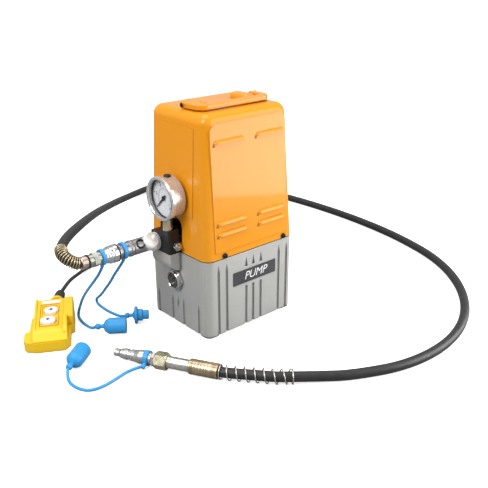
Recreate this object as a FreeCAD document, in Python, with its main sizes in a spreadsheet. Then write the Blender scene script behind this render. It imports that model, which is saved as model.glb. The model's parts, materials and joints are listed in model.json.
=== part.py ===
import FreeCAD, Part
import math
import os
import Sketcher
from FreeCAD import Vector, Placement, Rotation

# Portable electric hydraulic power unit with a hose, two-button pendant and tethered dust caps.
# Frame: millimetres, +Z up, origin on the floor at the centre of the tank, front face at -Y,
# outlet, gauge and sight glass on the -X side.

doc = FreeCAD.newDocument("hydraulic_power_unit")
sheet = doc.addObject("Spreadsheet::Sheet", "Dims")


class Q:
    """A number together with the sheet expression that it comes from."""

    def __init__(self, v, s):
        self.v = float(v)
        self.s = s

    def __add__(self, o):
        o = q(o)
        return Q(self.v + o.v, "(%s + %s)" % (self.s, o.s))

    def __radd__(self, o):
        return q(o) + self

    def __sub__(self, o):
        o = q(o)
        return Q(self.v - o.v, "(%s - %s)" % (self.s, o.s))

    def __rsub__(self, o):
        return q(o) - self

    def __mul__(self, o):
        o = q(o)
        return Q(self.v * o.v, "(%s * %s)" % (self.s, o.s))

    def __rmul__(self, o):
        return q(o) * self

    def __truediv__(self, o):
        o = q(o)
        return Q(self.v / o.v, "(%s / %s)" % (self.s, o.s))

    def __neg__(self):
        return Q(-self.v, "(-1 * %s)" % self.s)


def q(x):
    return x if isinstance(x, Q) else Q(x, "%.6g" % x if x >= 0 else "(%.6g)" % x)


def f(x):
    return x.v if isinstance(x, Q) else float(x)


D = {}


def dim(alias, value, note):
    n = len(D) + 1
    sheet.set("A%d" % n, alias)
    sheet.set("B%d" % n, "%g" % value)
    sheet.set("C%d" % n, note)
    sheet.setAlias("B%d" % n, alias)
    D[alias] = Q(value, "Dims.%s" % alias)


for row in (
    ("tank_w", 180, "tank width along X"),
    ("tank_d", 146, "tank depth along Y"),
    ("tank_top", 128, "height of the tank's rim above the floor"),
    ("tank_wall", 5, "tank wall"),
    ("tank_r", 15, "tank corner radius"),
    ("foot_h", 3, "height of the cast feet"),
    ("groove_r", 2.5, "radius of the flutes in the tank's walls"),
    ("gasket_t", 1, "gasket under the mounting plate"),
    ("plate_t", 8, "pump mounting plate"),
    ("cover_z", 129.4, "lower edge of the motor cover"),
    ("cover_top", 343, "top of the motor cover"),
    ("cover_wall", 2, "motor cover sheet"),
    ("cover_in_x", 9.8, "how far each side of the cover leans in over its height"),
    ("cover_in_f", 10.8, "how far the front leans in"),
    ("cover_in_b", 5.4, "how far the back leans in"),
    ("cover_r", 15, "radius of the cover's upright corners and of its top edge"),
    ("panel_t", 1.0, "raised panel pressed into the cover"),
    ("louvre_len", 56, "length of one louvre"),
    ("louvre_r", 5.6, "radius of a louvre hood"),
    ("louvre_t", 1.3, "sheet of a louvre hood"),
    ("screw_head_r", 4.2, "button head of a cover screw"),
    ("screw_r", 2.5, "cover screw shank"),
    ("label_w", 88, "name plate width"),
    ("label_h", 22, "name plate height"),
    ("label_t", 0.8, "name plate thickness"),
    ("block_w", 49, "manifold block along Y"),
    ("block_out", 20, "how far the manifold block stands out of the tank side"),
    ("block_top", 156, "top of the manifold block"),
    ("port_top", 166, "top of the gauge port boss"),
    ("gauge_r", 32, "gauge case radius"),
    ("gauge_bezel_r", 34, "gauge bezel radius"),
    ("gauge_deep", 24, "gauge case depth"),
    ("gauge_z", 216.5, "gauge centre height"),
    ("gauge_y", 1.5, "gauge centre along Y"),
    ("needle_len", 21, "gauge needle from its axis"),
    ("sight_r", 15, "sight glass bezel radius"),
    ("sight_lens_r", 12.5, "sight glass lens radius"),
    ("sight_af", 32, "sight glass hexagon across flats"),
    ("collar_r", 14, "outlet collar radius"),
    ("collar_len", 12, "outlet collar length"),
    ("coup_r", 12, "coupler body radius"),
    ("sleeve_r", 13.5, "coupler locking sleeve radius"),
    ("sleeve_travel", 3.5, "coupler sleeve travel"),
    ("nip_pilot_r", 5.8, "nipple's sealing nose radius"),
    ("nip_pilot_len", 9, "nipple's sealing nose length"),
    ("hose_d", 15, "hose outside diameter"),
    ("tether_d", 4.5, "tether diameter"),
    ("cable_d", 6.5, "pendant cable diameter"),
    ("coil_r", 36, "mean radius of the put-away cable coil"),
    ("coil_half", 10, "half of the coil's width"),
    ("coil_h", 26, "height of the coil"),
    ("ferrule_r", 11.25, "crimped ferrule radius at the tool end"),
    ("nut_af", 23, "swivel nut across flats"),
    ("spring_wire", 1.7, "hose spring wire"),
    ("spring_r", 10.4, "mean radius of the hose spring"),
    ("cap_r", 12.5, "dust cap radius"),
    ("cap_wall", 2, "dust cap wall"),
    ("plug_flange_r", 14, "dust plug flange radius"),
    ("handle_w", 140, "handle width along X"),
    ("handle_reach", 40, "handle from its pivot side to its front"),
    ("handle_bar", 12, "handle bar width"),
    ("handle_t", 8, "handle bar thickness"),
    ("stator_r", 52, "motor stator radius"),
    ("rotor_r", 30, "rotor radius"),
    ("air_gap", 0.6, "gap between rotor and stator"),
    ("shaft_r", 7, "motor shaft radius"),
    ("bearing_r", 17.5, "bearing outside radius"),
    ("ecc", 2, "eccentric throw"),
    ("pend_w", 56, "pendant width across its face"),
    ("pend_l", 110, "pendant length"),
    ("pend_h", 34.6, "pendant height at its cable end"),
    ("button_gap", 0.35, "gap round a pendant button"),
):
    dim(*row)
doc.recompute()

tmp_n = [0]


def new(kind, name=None):
    tmp_n[0] += 1
    return doc.addObject(kind, name or ("op%03d" % tmp_n[0]))


def bind(obj, prop, x):
    if isinstance(x, Q) and "Dims." in x.s:
        setattr(obj, prop, x.v)
        obj.setExpression(prop, x.s)
    else:
        setattr(obj, prop, f(x))


def vec(p):
    return Vector(f(p[0]), f(p[1]), f(p[2]))


def rot_to(axis, spin=0.0):
    r = Rotation(Vector(0, 0, 1), Vector(*[f(a) for a in axis]))
    return r.multiply(Rotation(Vector(0, 0, 1), spin))


def frame3(x, y, z):
    """Rotation whose local axes lie along the three given directions."""
    m = FreeCAD.Matrix(x[0], y[0], z[0], 0, x[1], y[1], z[1], 0, x[2], y[2], z[2], 0, 0, 0, 0, 1)
    return Placement(m).Rotation


def cyl(r, height, at=(0, 0, 0), axis=(0, 0, 1), ang=360.0, rot=None):
    o = new("Part::Cylinder")
    bind(o, "Radius", r)
    bind(o, "Height", height)
    o.Angle = ang
    o.Placement = Placement(vec(at), rot if rot else rot_to(axis))
    return o


def cone(r1, r2, height, at=(0, 0, 0), axis=(0, 0, 1)):
    o = new("Part::Cone")
    bind(o, "Radius1", r1)
    bind(o, "Radius2", r2)
    bind(o, "Height", height)
    o.Placement = Placement(vec(at), rot_to(axis))
    return o


def box(lo, size, rot=None):
    o = new("Part::Box")
    for p, x in zip(("Length", "Width", "Height"), size):
        bind(o, p, x)
    o.Placement = Placement(vec(lo), rot if rot else Rotation())
    return o


def hexa(af, height, at=(0, 0, 0), axis=(0, 0, 1), spin=0.0):
    o = new("Part::Prism")
    o.Polygon = 6
    bind(o, "Circumradius", q(af) / math.sqrt(3))
    bind(o, "Height", height)
    o.Placement = Placement(vec(at), rot_to(axis, spin))
    return o


def torus(r1, r2, at=(0, 0, 0), axis=(0, 0, 1), ang=360.0, spin=0.0):
    o = new("Part::Torus")
    bind(o, "Radius1", r1)
    bind(o, "Radius2", r2)
    o.Angle3 = ang
    o.Placement = Placement(vec(at), rot_to(axis, spin))
    return o


def ball(r, at, rot=None, ang3=360.0):
    o = new("Part::Sphere")
    bind(o, "Radius", r)
    o.Angle3 = ang3
    o.Placement = Placement(vec(at), rot if rot else Rotation())
    return o


def named(o, label):
    o.Label = label
    return o


def fuse(*objs):
    if len(objs) == 1:
        return objs[0]
    o = new("Part::MultiFuse")
    o.Shapes = list(objs)
    o.Refine = True
    return o


def cut(base, *tools):
    o = new("Part::Cut")
    o.Base = base
    o.Tool = fuse(*tools)
    o.Refine = True
    return o


def common(a, b):
    o = new("Part::MultiCommon")
    o.Shapes = [a, b]
    return o


def group(*objs):
    o = new("Part::Compound")
    o.Links = list(objs)
    return o


def part_fillet(base, pick, r):
    """Fillet of the base's edges for which pick(edge) is true."""
    doc.recompute()
    o = new("Part::Fillet")
    o.Base = base
    o.Edges = [(i + 1, f(r), f(r)) for i, e in enumerate(base.Shape.Edges) if pick(e)]
    return o


def moved(o, at=(0, 0, 0), rot=None):
    """Puts a finished object somewhere, keeping its own shape."""
    base = o.Placement
    o.Placement = Placement(vec(at), rot if rot else Rotation()).multiply(base)
    return o


def origin_plane(body, role):
    for o in body.Origin.OriginFeatures:
        if o.Role == role:
            return o
    raise RuntimeError(role)


def poly_sketch(body, pts, plane, offset=None):
    """Closed outline whose every corner is dimensioned from the origin."""
    sk = body.newObject("Sketcher::SketchObject", body.Name + "_sk")
    sk.AttachmentSupport = (origin_plane(body, plane), [""])
    sk.MapMode = "FlatFace"
    if offset is not None:
        sk.AttachmentOffset = Placement(Vector(0, 0, f(offset)), Rotation())
        if isinstance(offset, Q):
            sk.setExpression("AttachmentOffset.Base.z", offset.s)
    n = len(pts)
    for i in range(n):
        a, b = pts[i], pts[(i + 1) % n]
        sk.addGeometry(Part.LineSegment(Vector(f(a[0]), f(a[1]), 0), Vector(f(b[0]), f(b[1]), 0)), False)
    for i in range(n):
        sk.addConstraint(Sketcher.Constraint("Coincident", i, 2, (i + 1) % n, 1))
    for i in range(n):
        for k, kind, axis in ((0, "DistanceX", -2), (1, "DistanceY", -1)):
            x = q(pts[i][k])
            if abs(x.v) < 1e-9:
                sk.addConstraint(Sketcher.Constraint("PointOnObject", i, 1, axis))
                continue
            if x.v > 0:
                c = sk.addConstraint(Sketcher.Constraint(kind, -1, 1, i, 1, x.v))
                e = x.s
            else:
                c = sk.addConstraint(Sketcher.Constraint(kind, i, 1, -1, 1, -x.v))
                e = "-1 * %s" % x.s
            if "Dims." in e:
                sk.setExpression("Constraints[%d]" % c, e)
    return sk


def turned(label, prof, at=(0, 0, 0), axis=(0, 0, 1), spin=0.0, rot=None):
    """A turned piece: its half section (radius, station) revolved about its axis."""
    body = new("PartDesign::Body", "b_" + label)
    sk = poly_sketch(body, prof, "XZ_Plane")
    rev = body.newObject("PartDesign::Revolution", body.Name + "_rev")
    rev.Profile = sk
    rev.ReferenceAxis = (sk, ["V_Axis"])
    rev.Angle = 360.0
    body.Tip = rev
    body.Placement = Placement(vec(at), rot if rot else rot_to(axis, spin))
    return body


def padded(label, pts, length, plane="XY_Plane", at=(0, 0, 0), rot=None, mid=False, offset=None):
    """A piece of constant section: an outline padded by a length."""
    body = new("PartDesign::Body", "b_" + label)
    sk = poly_sketch(body, pts, plane, offset)
    pad = body.newObject("PartDesign::Pad", body.Name + "_pad")
    pad.Profile = sk
    bind(pad, "Length", length)
    pad.Midplane = mid
    body.Tip = pad
    body.Placement = Placement(vec(at), rot if rot else Rotation())
    return body


def body_fillet(body, pick, r):
    doc.recompute()
    tip = body.Tip
    names = ["Edge%d" % (i + 1) for i, e in enumerate(tip.Shape.Edges) if pick(e)]
    if not names:
        raise RuntimeError("no edges picked on " + body.Name)
    fl = body.newObject("PartDesign::Fillet", body.Name + "_fl")
    fl.Base = (tip, names)
    bind(fl, "Radius", r)
    body.Tip = fl
    return body


def upright(e):
    b = e.BoundBox
    return b.ZLength > 5 and b.XLength < 0.6 * b.ZLength and b.YLength < 0.6 * b.ZLength and len(e.Vertexes) == 2


def short_upright(e):
    b = e.BoundBox
    return b.ZLength > 1 and b.XLength < 0.1 and b.YLength < 0.1


def at_z(z, tol=0.05):
    return lambda e: abs(e.BoundBox.ZMin - f(z)) < tol and abs(e.BoundBox.ZMax - f(z)) < tol


def rect(x0, x1, y0, y1):
    return [(x0, y0), (x1, y0), (x1, y1), (x0, y1)]


out = []


def node(label, obj):
    obj.Label = label
    out.append(obj)
    return obj


# ---------------------------------------------------------------- cords
radii_report = []


def tube_shape(label, pts, d, inner=None):
    """Straight runs joined by tangent arcs, swept with a round section."""
    P = [Vector(*p) for p in pts]
    edges, rad = [], []
    start = P[0]
    for i in range(1, len(P) - 1):
        a, b = P[i] - P[i - 1], P[i + 1] - P[i]
        la, lb = a.Length, b.Length
        u, v = a / la, b / lb
        turn = math.acos(max(-1, min(1, u.dot(v))))
        run = min(la, lb)
        r = 0.45 * run / math.tan(turn / 2)
        t = 0.45 * run
        p0, p1 = P[i] - u * t, P[i] + v * t
        n = (v - u)
        n.normalize()
        mid = P[i] + n * (r / math.cos(turn / 2) - r)
        edges.append(Part.LineSegment(start, p0).toShape())
        edges.append(Part.Arc(p0, mid, p1).toShape())
        rad.append(r)
        start = p1
    edges.append(Part.LineSegment(start, P[-1]).toShape())
    wire = Part.Wire(edges)
    t0 = (P[1] - P[0]).normalize()
    prof = Part.Face(Part.Wire(Part.makeCircle(d / 2, P[0], t0)))
    shp = wire.makePipe(prof)
    if inner:
        hole = wire.makePipe(Part.Face(Part.Wire(Part.makeCircle(inner / 2, P[0], t0))))
        shp = shp.cut(hole)
    if shp.ShapeType != "Solid":
        shp = shp.Solids[0]
    area = math.pi * (d * d - (inner or 0) ** 2) / 4
    print("%s: length %.0f mm, volume/section length %.4f, least radius %.1f mm (%.1f diameters), radii %s"
          % (label, wire.Length, shp.Volume / (area * wire.Length), min(rad), min(rad) / d,
             " ".join("%.0f" % r for r in rad)))
    return shp


def feature(shape):
    o = new("Part::Feature")
    o.Shape = shape
    o.Placement = Placement()
    return o


w2, d2 = D["tank_w"] / 2, D["tank_d"] / 2

# ---------------------------------------------------------------- tank
outer = padded("tank_outer", rect(-w2, w2, -d2, d2), D["tank_top"] - D["foot_h"], offset=D["foot_h"])
body_fillet(outer, upright, D["tank_r"])
inner = padded("tank_inner", rect(-w2 + D["tank_wall"], w2 - D["tank_wall"], -d2 + D["tank_wall"], d2 - D["tank_wall"]),
               D["tank_top"], offset=D["foot_h"] + D["tank_wall"])
body_fillet(inner, upright, D["tank_r"] - D["tank_wall"])
feet = []
for sx in (-1, 1):
    for sy in (-1, 1):
        foot = padded("foot", rect(-13, 13, -13, 13), D["foot_h"] + 0.5,
                      at=(sx * (f(w2) - 15), sy * (f(d2) - 15), 0))
        body_fillet(foot, short_upright, 9)
        feet.append(foot)
feet.append(cyl(12, D["foot_h"] + 0.5, (0, 0, 0)))  # machined pad in the middle of the underside
bo = -w2 - D["block_out"]
boss = padded("boss", [(-w2 + 3, 128), (bo, 128), (bo, 113), (bo + 3, 106), (bo + 8, 101.5), (bo + 15, 99), (-w2 + 3, 98)],
              D["block_w"], plane="XZ_Plane", at=(0, 40, 0))
body_fillet(boss, lambda e: e.BoundBox.XMax < -100 and e.BoundBox.YLength < 0.1 and e.BoundBox.ZLength > 4, 3)
shell = cut(fuse(outer, boss, *feet), inner)


def flute(x, y, z0, z1, tip_up=True, tip_down=False):
    h0, h1 = z0 + (9 if tip_down else 0), z1 - (14 if tip_up else 0)
    parts = [cyl(D["groove_r"], h1 - h0, (x, y, h0))]
    if tip_up:
        parts.append(cone(D["groove_r"], 0.0, 14, (x, y, h1)))
    if tip_down:
        parts.append(cone(D["groove_r"], 0.0, 9, (x, y, h0), (0, 0, -1)))
    return parts


flutes = []
for x in (-68, -52, 57, 74):
    flutes += flute(x, -d2 - 0.2, -1, 121)
    flutes += flute(x, d2 + 0.2, -1, 121)
for x in (-12.6, 2.0, 18.0):
    flutes += flute(x, -d2 - 0.2, -1, 70, tip_up=False)
    flutes += flute(x, -d2 - 0.2, 103, 121)
    flutes += flute(x, d2 + 0.2, -1, 121)
for y, z1 in ((54, 47), (16, 50), (-12.5, 53), (-51, 56)):
    flutes += flute(-w2 - 0.2, y, -1, z1)
flutes += flute(-w2 - 0.2, 1.5, 24, 52, tip_down=True)
flutes += flute(-w2 - 0.2, -66, -1, 121)
for y in (-60, -45, -8, 8, 45, 60):
    flutes += flute(w2 + 0.2, y, -1, 121)
sight_y, sight_z = 4.5, 78.0
ports = [
    cyl(12, 30, (-w2 - 15, sight_y, sight_z), (1, 0, 0)),
    cyl(8, 30, (40, f(d2) - 15, 20), (0, 1, 0)),
    cyl(8, 30, (-50, f(d2) - 15, 112), (0, 1, 0)),
]
screw_xy = [(-78, -61), (78, -61), (-78, 61), (78, 61), (20, -61), (20, 61)]
node("oil_tank", cut(shell, *(flutes + ports)))

# corner bosses of the casting carry the plate screws
gasket_outer = padded("gasket_o", rect(-w2 + 0.6, w2 - 0.6, -d2 + 0.6, d2 - 0.6), D["gasket_t"], at=(0, 0, 128))
body_fillet(gasket_outer, lambda e: e.BoundBox.ZLength > 0.5, D["tank_r"] - 0.6)
gasket_inner = padded("gasket_i", rect(-w2 + 18, w2 - 18, -d2 + 18, d2 - 18), 4, at=(0, 0, 127))
gasket_tabs = [box((-w2 - 21, -9.5, 127), (22, 51, 4))]
node("tank_gasket", cut(gasket_outer, gasket_inner))

plate = padded("plate", rect(-w2 + 3, w2 - 3, -d2 + 3, d2 - 3), D["plate_t"], at=(0, 0, 129))
body_fillet(plate, upright, D["tank_r"] - 3)
plate_holes = [cyl(3.2, 20, (x, y, 120)) for x, y in screw_xy]
plate_holes.append(cyl(20, 20, (0, 0, 120)))
cover_screw_at = [(-55.2, -1), (65.8, -1), (-60, 1), (60, 1)]
for x, s in cover_screw_at:
    plate_holes.append(cyl(D["screw_r"], 14, (x, s * (f(d2) - 13), 133), (0, s, 0)))
node("pump_plate", cut(plate, *plate_holes))

scr = []
for x, y in screw_xy:
    scr.append(cut(fuse(cyl(5, 6, (x, y, 137)), cyl(3.0, 8, (x, y, 129.2))), hexa(5, 4, (x, y, 139.5))))
plate_scr = scr

# ---------------------------------------------------------------- motor cover
cz0, cz1 = D["cover_z"], D["cover_top"]
ch = cz1 - cz0


def cover_form(inset, z_off, top_drop, rad):
    """The cover's leaning block with its upright corners and top edge rounded."""
    o = new("Part::Wedge")
    inset = q(inset)
    for prop, x in (("Xmin", -w2 + inset), ("Xmax", w2 - inset), ("Zmin", -d2 + inset), ("Zmax", d2 - inset),
                    ("X2min", -w2 + D["cover_in_x"] + inset), ("X2max", w2 - D["cover_in_x"] - inset),
                    ("Z2min", -d2 + D["cover_in_b"] + inset), ("Z2max", d2 - D["cover_in_f"] - inset),
                    ("Ymin", cz0 - z_off), ("Ymax", cz1 - top_drop)):
        bind(o, prop, x)
    o.Placement = Placement(Vector(0, 0, 0), frame3((1, 0, 0), (0, 0, 1), (0, -1, 0)))
    return part_fillet(o, lambda e: e.BoundBox.ZLength > 5 or e.BoundBox.ZMin > f(cz1) - f(top_drop) - 1, rad)


def lean(z, total):
    """Lean-in of a cover face at a height."""
    return f(total) * (z - f(cz0)) / f(ch)


cov_o = cover_form(q(0), q(0), q(0), D["cover_r"])
cov_i = cover_form(D["cover_wall"], q(1), D["cover_wall"], D["cover_r"] - D["cover_wall"])

pz0, pz1 = 140.0, 330.0
fy0, fy1 = -f(d2) + lean(pz0, D["cover_in_f"]), -f(d2) + lean(pz1, D["cover_in_f"])
pt = D["panel_t"]
front_panel = padded("front_panel", [(fy0 - pt, pz0), (fy0 + 1.5, pz0), (fy1 + 1.5, pz1), (fy1 - pt, pz1)], 146,
                     plane="YZ_Plane", mid=True)
body_fillet(front_panel, lambda e: e.BoundBox.YLength > 1.5 and e.BoundBox.YLength < 4 and e.BoundBox.ZLength < 0.5
            and e.BoundBox.XLength < 0.1 and e.BoundBox.ZMax > 300, 13)
sx0, sx1 = f(w2) - lean(pz0, D["cover_in_x"]), f(w2) - lean(pz1, D["cover_in_x"])
side_panels = []
for s, z0 in ((-1, 190.0), (1, 145.0)):
    a0, a1 = f(w2) - lean(z0, D["cover_in_x"]), sx1
    side_panels.append(padded("side_panel", [(s * (a0 - 1.5), z0), (s * (a0 + f(pt)), z0), (s * (a1 + f(pt)), pz1 - 8),
                                             (s * (a1 - 1.5), pz1 - 8)], 91, plane="XZ_Plane", mid=True, at=(0, 6.8, 0)))
back_y0, back_y1 = f(d2) - lean(190, D["cover_in_b"]), f(d2) - lean(pz1, D["cover_in_b"])
back_panel = padded("back_panel", [(back_y0 - 1.5, 190), (back_y0 + pt, 190), (back_y1 + pt, pz1 - 4), (back_y1 - 1.5, pz1 - 4)],
                    130, plane="YZ_Plane", mid=True)

# Louvres: hooded slots, open on their lower side.
lrot = frame3((0, 1, 0), (0, 0, 1), (1, 0, 0))


def half_capsule(x0, x1, y, z, r):
    r = q(r)
    return [cyl(r, q(x1 - x0) - r * 2, (x0 + r.v, y, z), rot=lrot, ang=180.0),
            ball(r, (x0 + r.v, y, z), rot=lrot, ang3=180.0),
            ball(r, (x1 - r.v, y, z), rot=lrot, ang3=180.0)]


hoods, slots = [], []
for z in (166.0, 183.0, 302.0):
    y = -f(d2) + lean(z, D["cover_in_f"]) + 0.4
    for x0, x1 in ((-67, -11), (12.5, 68.5)):
        hoods += half_capsule(x0, x1, y, z, D["louvre_r"])
        slots += half_capsule(x0 + 1.3, x1 - 1.3, y, z - 0.2, D["louvre_r"] - D["louvre_t"])

# opening in the -X side round the manifold
gate = padded("gate", rect(-13, 43, 120, 182), 40, plane="YZ_Plane", at=(-f(w2) - 15, 0, 0))
body_fillet(gate, lambda e: e.BoundBox.XLength > 30 and e.BoundBox.ZMin > 170, 17)
holes = [gate]
for x, s in cover_screw_at:
    holes.append(cyl(D["screw_r"] + 0.3, 20, (x, s * (f(d2) - 10), 133), (0, s, 0)))
gland_x = {"pendant": 40.0, "mains": -35.0}
gland_z = 168.0
gy = f(d2) - lean(gland_z, D["cover_in_b"])
for x in gland_x.values():
    holes.append(cyl(8, 20, (x, gy - 10, gland_z), (0, 1, 0)))
bracket_x = 46.0
for s in (-1, 1):
    for y in (-14, 14):
        holes.append(cyl(2.1, 10, (s * bracket_x, y + 2, f(cz1) - 6)))
shell = cut(cov_o, cov_i)
node("motor_cover", cut(fuse(shell, front_panel, back_panel, *(side_panels + hoods)), *(holes + slots)))

scr = []
for x, s in cover_screw_at:
    head = turned("cover_screw", [(0, 0), (D["screw_r"], 0), (D["screw_r"], 12.5), (D["screw_head_r"], 12.5),
                                  (D["screw_head_r"], 13.6), (3.4, 15.4), (2.2, 16.2), (0, 16.2)],
                  (x, s * (f(d2) - 12.3), 133), (0, s, 0))
    sock = hexa(3, 3, (x, s * (f(d2) + 1.6), 133), (0, s, 0))
    scr.append(cut(head, sock))
node("cover_screws", group(*scr))

label = padded("label", rect(-39, q(-39) + D["label_w"], 76, q(76) + D["label_h"]), D["label_t"], plane="XZ_Plane",
               at=(0, -f(d2), 0))
node("label_plate", label)

# ---------------------------------------------------------------- sight glass, plugs
ax = (-1, 0, 0)
sx = -f(w2)
sg = cut(fuse(hexa(D["sight_af"], 3.5, (sx, sight_y, sight_z), ax, 30),
              turned("sight_ring", [(9, -7), (12, -7), (12, 0), (12, 3.4), (D["sight_r"], 3.4), (D["sight_r"], 7.2),
                                    (D["sight_r"] - 1, 8.2), (D["sight_lens_r"] + 0.6, 8.2), (D["sight_lens_r"], 7.4),
                                    (D["sight_lens_r"], 3.0), (9, 3.0)], (sx, sight_y, sight_z), ax)),
         cyl(9, 20, (sx + 10, sight_y, sight_z), ax),
         cyl(D["sight_lens_r"], 8, (sx - 3.0, sight_y, sight_z), ax))
node("sight_glass_body", sg)
node("sight_glass_lens", turned("sight_lens", [(0, 3.0), (D["sight_lens_r"], 3.0), (D["sight_lens_r"], 5.6),
                                               (9, 6.4), (0, 6.8)], (sx, sight_y, sight_z), ax))
plugs = []
for x, z in ((40, 20), (-50, 112)):
    p = turned("plug", [(0, -9), (8, -9), (8, 0), (13, 0), (13, 2), (11.6, 2.0), (11.6, 8), (10.6, 9), (0, 9)],
               (x, f(d2), z), (0, 1, 0))
    plugs.append(cut(common(p, fuse(hexa(20, 30, (x, f(d2) + 1.9, z), (0, 1, 0)), cyl(13, 14, (x, f(d2) - 12, z), (0, 1, 0)))),
                     hexa(8, 6, (x, f(d2) + 4, z), (0, 1, 0))))
node("tank_plugs", group(*plugs))

# ---------------------------------------------------------------- manifold
bx = -f(w2) - f(D["block_out"])
yc, zc = 25.0, 142.5
block_main = padded("block", rect(bx, -62, -9, q(-9) + D["block_w"]), D["block_top"] - 137, at=(0, 0, 137))
body_fillet(block_main, lambda e: upright(e) and e.BoundBox.XMax < -100, 3)
skirt = padded("skirt", rect(bx, bx + 19.6, -9, q(-9) + D["block_w"]), 8.8, at=(0, 0, 128.2))
body_fillet(skirt, lambda e: upright(e) and e.BoundBox.XMax < -100, 3)
gport = padded("gport", rect(bx, -89.6, -9, 17), D["port_top"] - 150, at=(0, 0, 150))
body_fillet(gport, upright, 3)
relief_at = (-97.5, -9, 140.5)
block = cut(fuse(block_main, skirt, gport),
            cyl(7, 22, (bx - 1, yc, zc), (1, 0, 0)),
            cyl(5, 18, (-104, f(D["gauge_y"]), 150)),
            cyl(3, 60, (bx + 10, yc, zc), (1, 0, 0)),
            cyl(4.06, 18, (relief_at[0], -10, relief_at[2]), (0, 1, 0)),
            cyl(3.2, 60, (-71, 33, 120)), cyl(3.2, 60, (-71, -1, 120)))
node("manifold_block", block)
scr = []
for y in (33, -1):
    scr.append(cut(fuse(cyl(5, 6, (-71, y, 156)), cyl(3.0, 18.5, (-71, y, 137.5))), hexa(5, 4, (-71, y, 158.5))))
node("socket_screws", group(*(plate_scr + scr)))
node("relief_valve_screw", cut(fuse(turned("relief", [(0, 0), (4, 0), (4, 13.2), (5.6, 13.2), (5.6, 19.0), (5.2, 19.4),
                                                 (3, 19.4), (3, 23.5), (2.4, 24.2), (0, 24.2)],
                                      (relief_at[0], relief_at[1] + 12.5, relief_at[2]), (0, -1, 0)),
                                      hexa(12, 5.2, (relief_at[0], relief_at[1] - 0.9, relief_at[2]), (0, -1, 0))),
                               box((relief_at[0] - 3.2, relief_at[1] - 12.5, relief_at[2] - 0.5), (6.4, 2.2, 1.0))))

# ---------------------------------------------------------------- gauge
gx0 = -90.0
gc = (gx0, f(D["gauge_y"]), f(D["gauge_z"]))
gr = D["gauge_r"]
stem_x = -104.0
case = turned("gauge_case", [(0, 0), (gr - 3, 0), (gr, 2.5), (gr, D["gauge_deep"]), (gr - 1.4, D["gauge_deep"]), (gr - 1.4, 3.6),
                             (gr - 3.6, 1.6), (0, 1.6)], gc, ax)
node("gauge_case", cut(case, cyl(5.45, 20, (stem_x, gc[1], gc[2] - 40))))
br = D["gauge_bezel_r"]
node("gauge_bezel", turned("gauge_bezel", [(gr, 20), (br - 0.6, 20), (br, 20.8), (br, 25.5), (br - 1.6, 27.5), (br - 4.6, 27.5),
                                           (br - 5.6, 26.3), (br - 5.6, 25.2), (gr, 25.2)], gc, ax))
node("gauge_dial", cut(turned("gauge_dial", [(0, 17), (gr - 1.5, 17), (gr - 1.5, 17.8), (0, 17.8)], gc, ax),
                       cyl(1.5, 10, (gx0 - 12, gc[1], gc[2]), ax)))
node("gauge_lens", turned("gauge_lens", [(0, 22.8), (gr - 1.5, 22.8), (gr - 1.5, 25.1), (0, 25.1)], gc, ax))
hub = turned("needle_hub", [(0, 10), (1.4, 10), (1.4, 18.6), (3.4, 18.6), (3.4, 20.4), (1.2, 20.9), (0, 20.9)], gc, ax)
# the needle rests at the dial's zero, low on its left side
na = math.radians(225.0)
ndir = (0.0, -math.cos(na), math.sin(na))
nperp = (0.0, ndir[2], -ndir[1])
npl = frame3(ndir, nperp, (ndir[1] * nperp[2] - ndir[2] * nperp[1], 0, 0))
hand = padded("needle_hand", [(-7, -1.2), (0, -1.7), (D["needle_len"], -0.3), (D["needle_len"], 0.3), (0, 1.7), (-7, 1.2)], 0.7)
nz = npl.multVec(Vector(0, 0, 1))
hand.Placement = Placement(Vector(gx0 - 19.2 - (0.7 if nz.x > 0 else 0.0), gc[1], gc[2]), npl)
node("gauge_needle", fuse(hub, hand))
gyy = f(D["gauge_y"])
socket = fuse(cyl(4.9, 14, (stem_x, gyy, 152)),
              cyl(7.6, 6, (stem_x, gyy, 166)),
              hexa(12.5, 10, (stem_x, gyy, 172), spin=30),
              cyl(5.4, 4.2, (stem_x, gyy, 181.9)),
              box((stem_x - 2.5, gyy - 5, 184), (6.5, 10, 20)))
tube = torus(19, 2, (stem_x + 3.5, gyy, f(D["gauge_z"])), (1, 0, 0), 255.0, -90)
node("gauge_socket", group(socket, cut(tube, box((stem_x - 6, gyy - 6.2, 185), (20, 12.4, 20)))))

# ---------------------------------------------------------------- outlet coupler
cp = (bx, yc, zc)
collar = turned("outlet_collar", [(3, -14), (7, -14), (7, 0), (D["collar_r"] - 1.2, 0), (D["collar_r"], 1.2),
                                  (D["collar_r"], D["collar_len"] - 1.4), (D["collar_r"] - 1.4, D["collar_len"]), (3, D["collar_len"])], cp, ax)
# a plain round cap stands on the collar's front, over the outlet check valve
side = (0.0, -0.8, 0.6)
cap_at = (bx - 16.0, yc + side[1] * 2, zc + side[2] * 2)
ccap = turned("valve_cap", [(0, 0), (12.7, 0), (13.3, 0.6), (13.3, 11), (12.5, 13), (10.6, 14.2), (0, 14.6)], cap_at, side)
node("outlet_collar", fuse(collar, ccap))
cr = D["coup_r"]
cbody = turned("coupler_body", [(3, 12), (cr - 0.8, 12), (cr, 12.8), (cr, 44), (cr - 1.4, 45), (cr - 1.4, 46), (cr + 0.6, 47),
                                (cr + 0.6, 50), (cr - 0.6, 51), (cr - 0.6, 57.2), (10, 57.2), (10, 67), (11.5, 67), (11.5, 72),
                                (9.5, 72), (9.5, 92.5), (8.7, 92.5), (8.7, 64), (3, 64)], cp, ax)
node("coupler_body", cut(cbody, cyl(13.32, 30, cap_at, side)))
sr = D["sleeve_r"]
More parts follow.
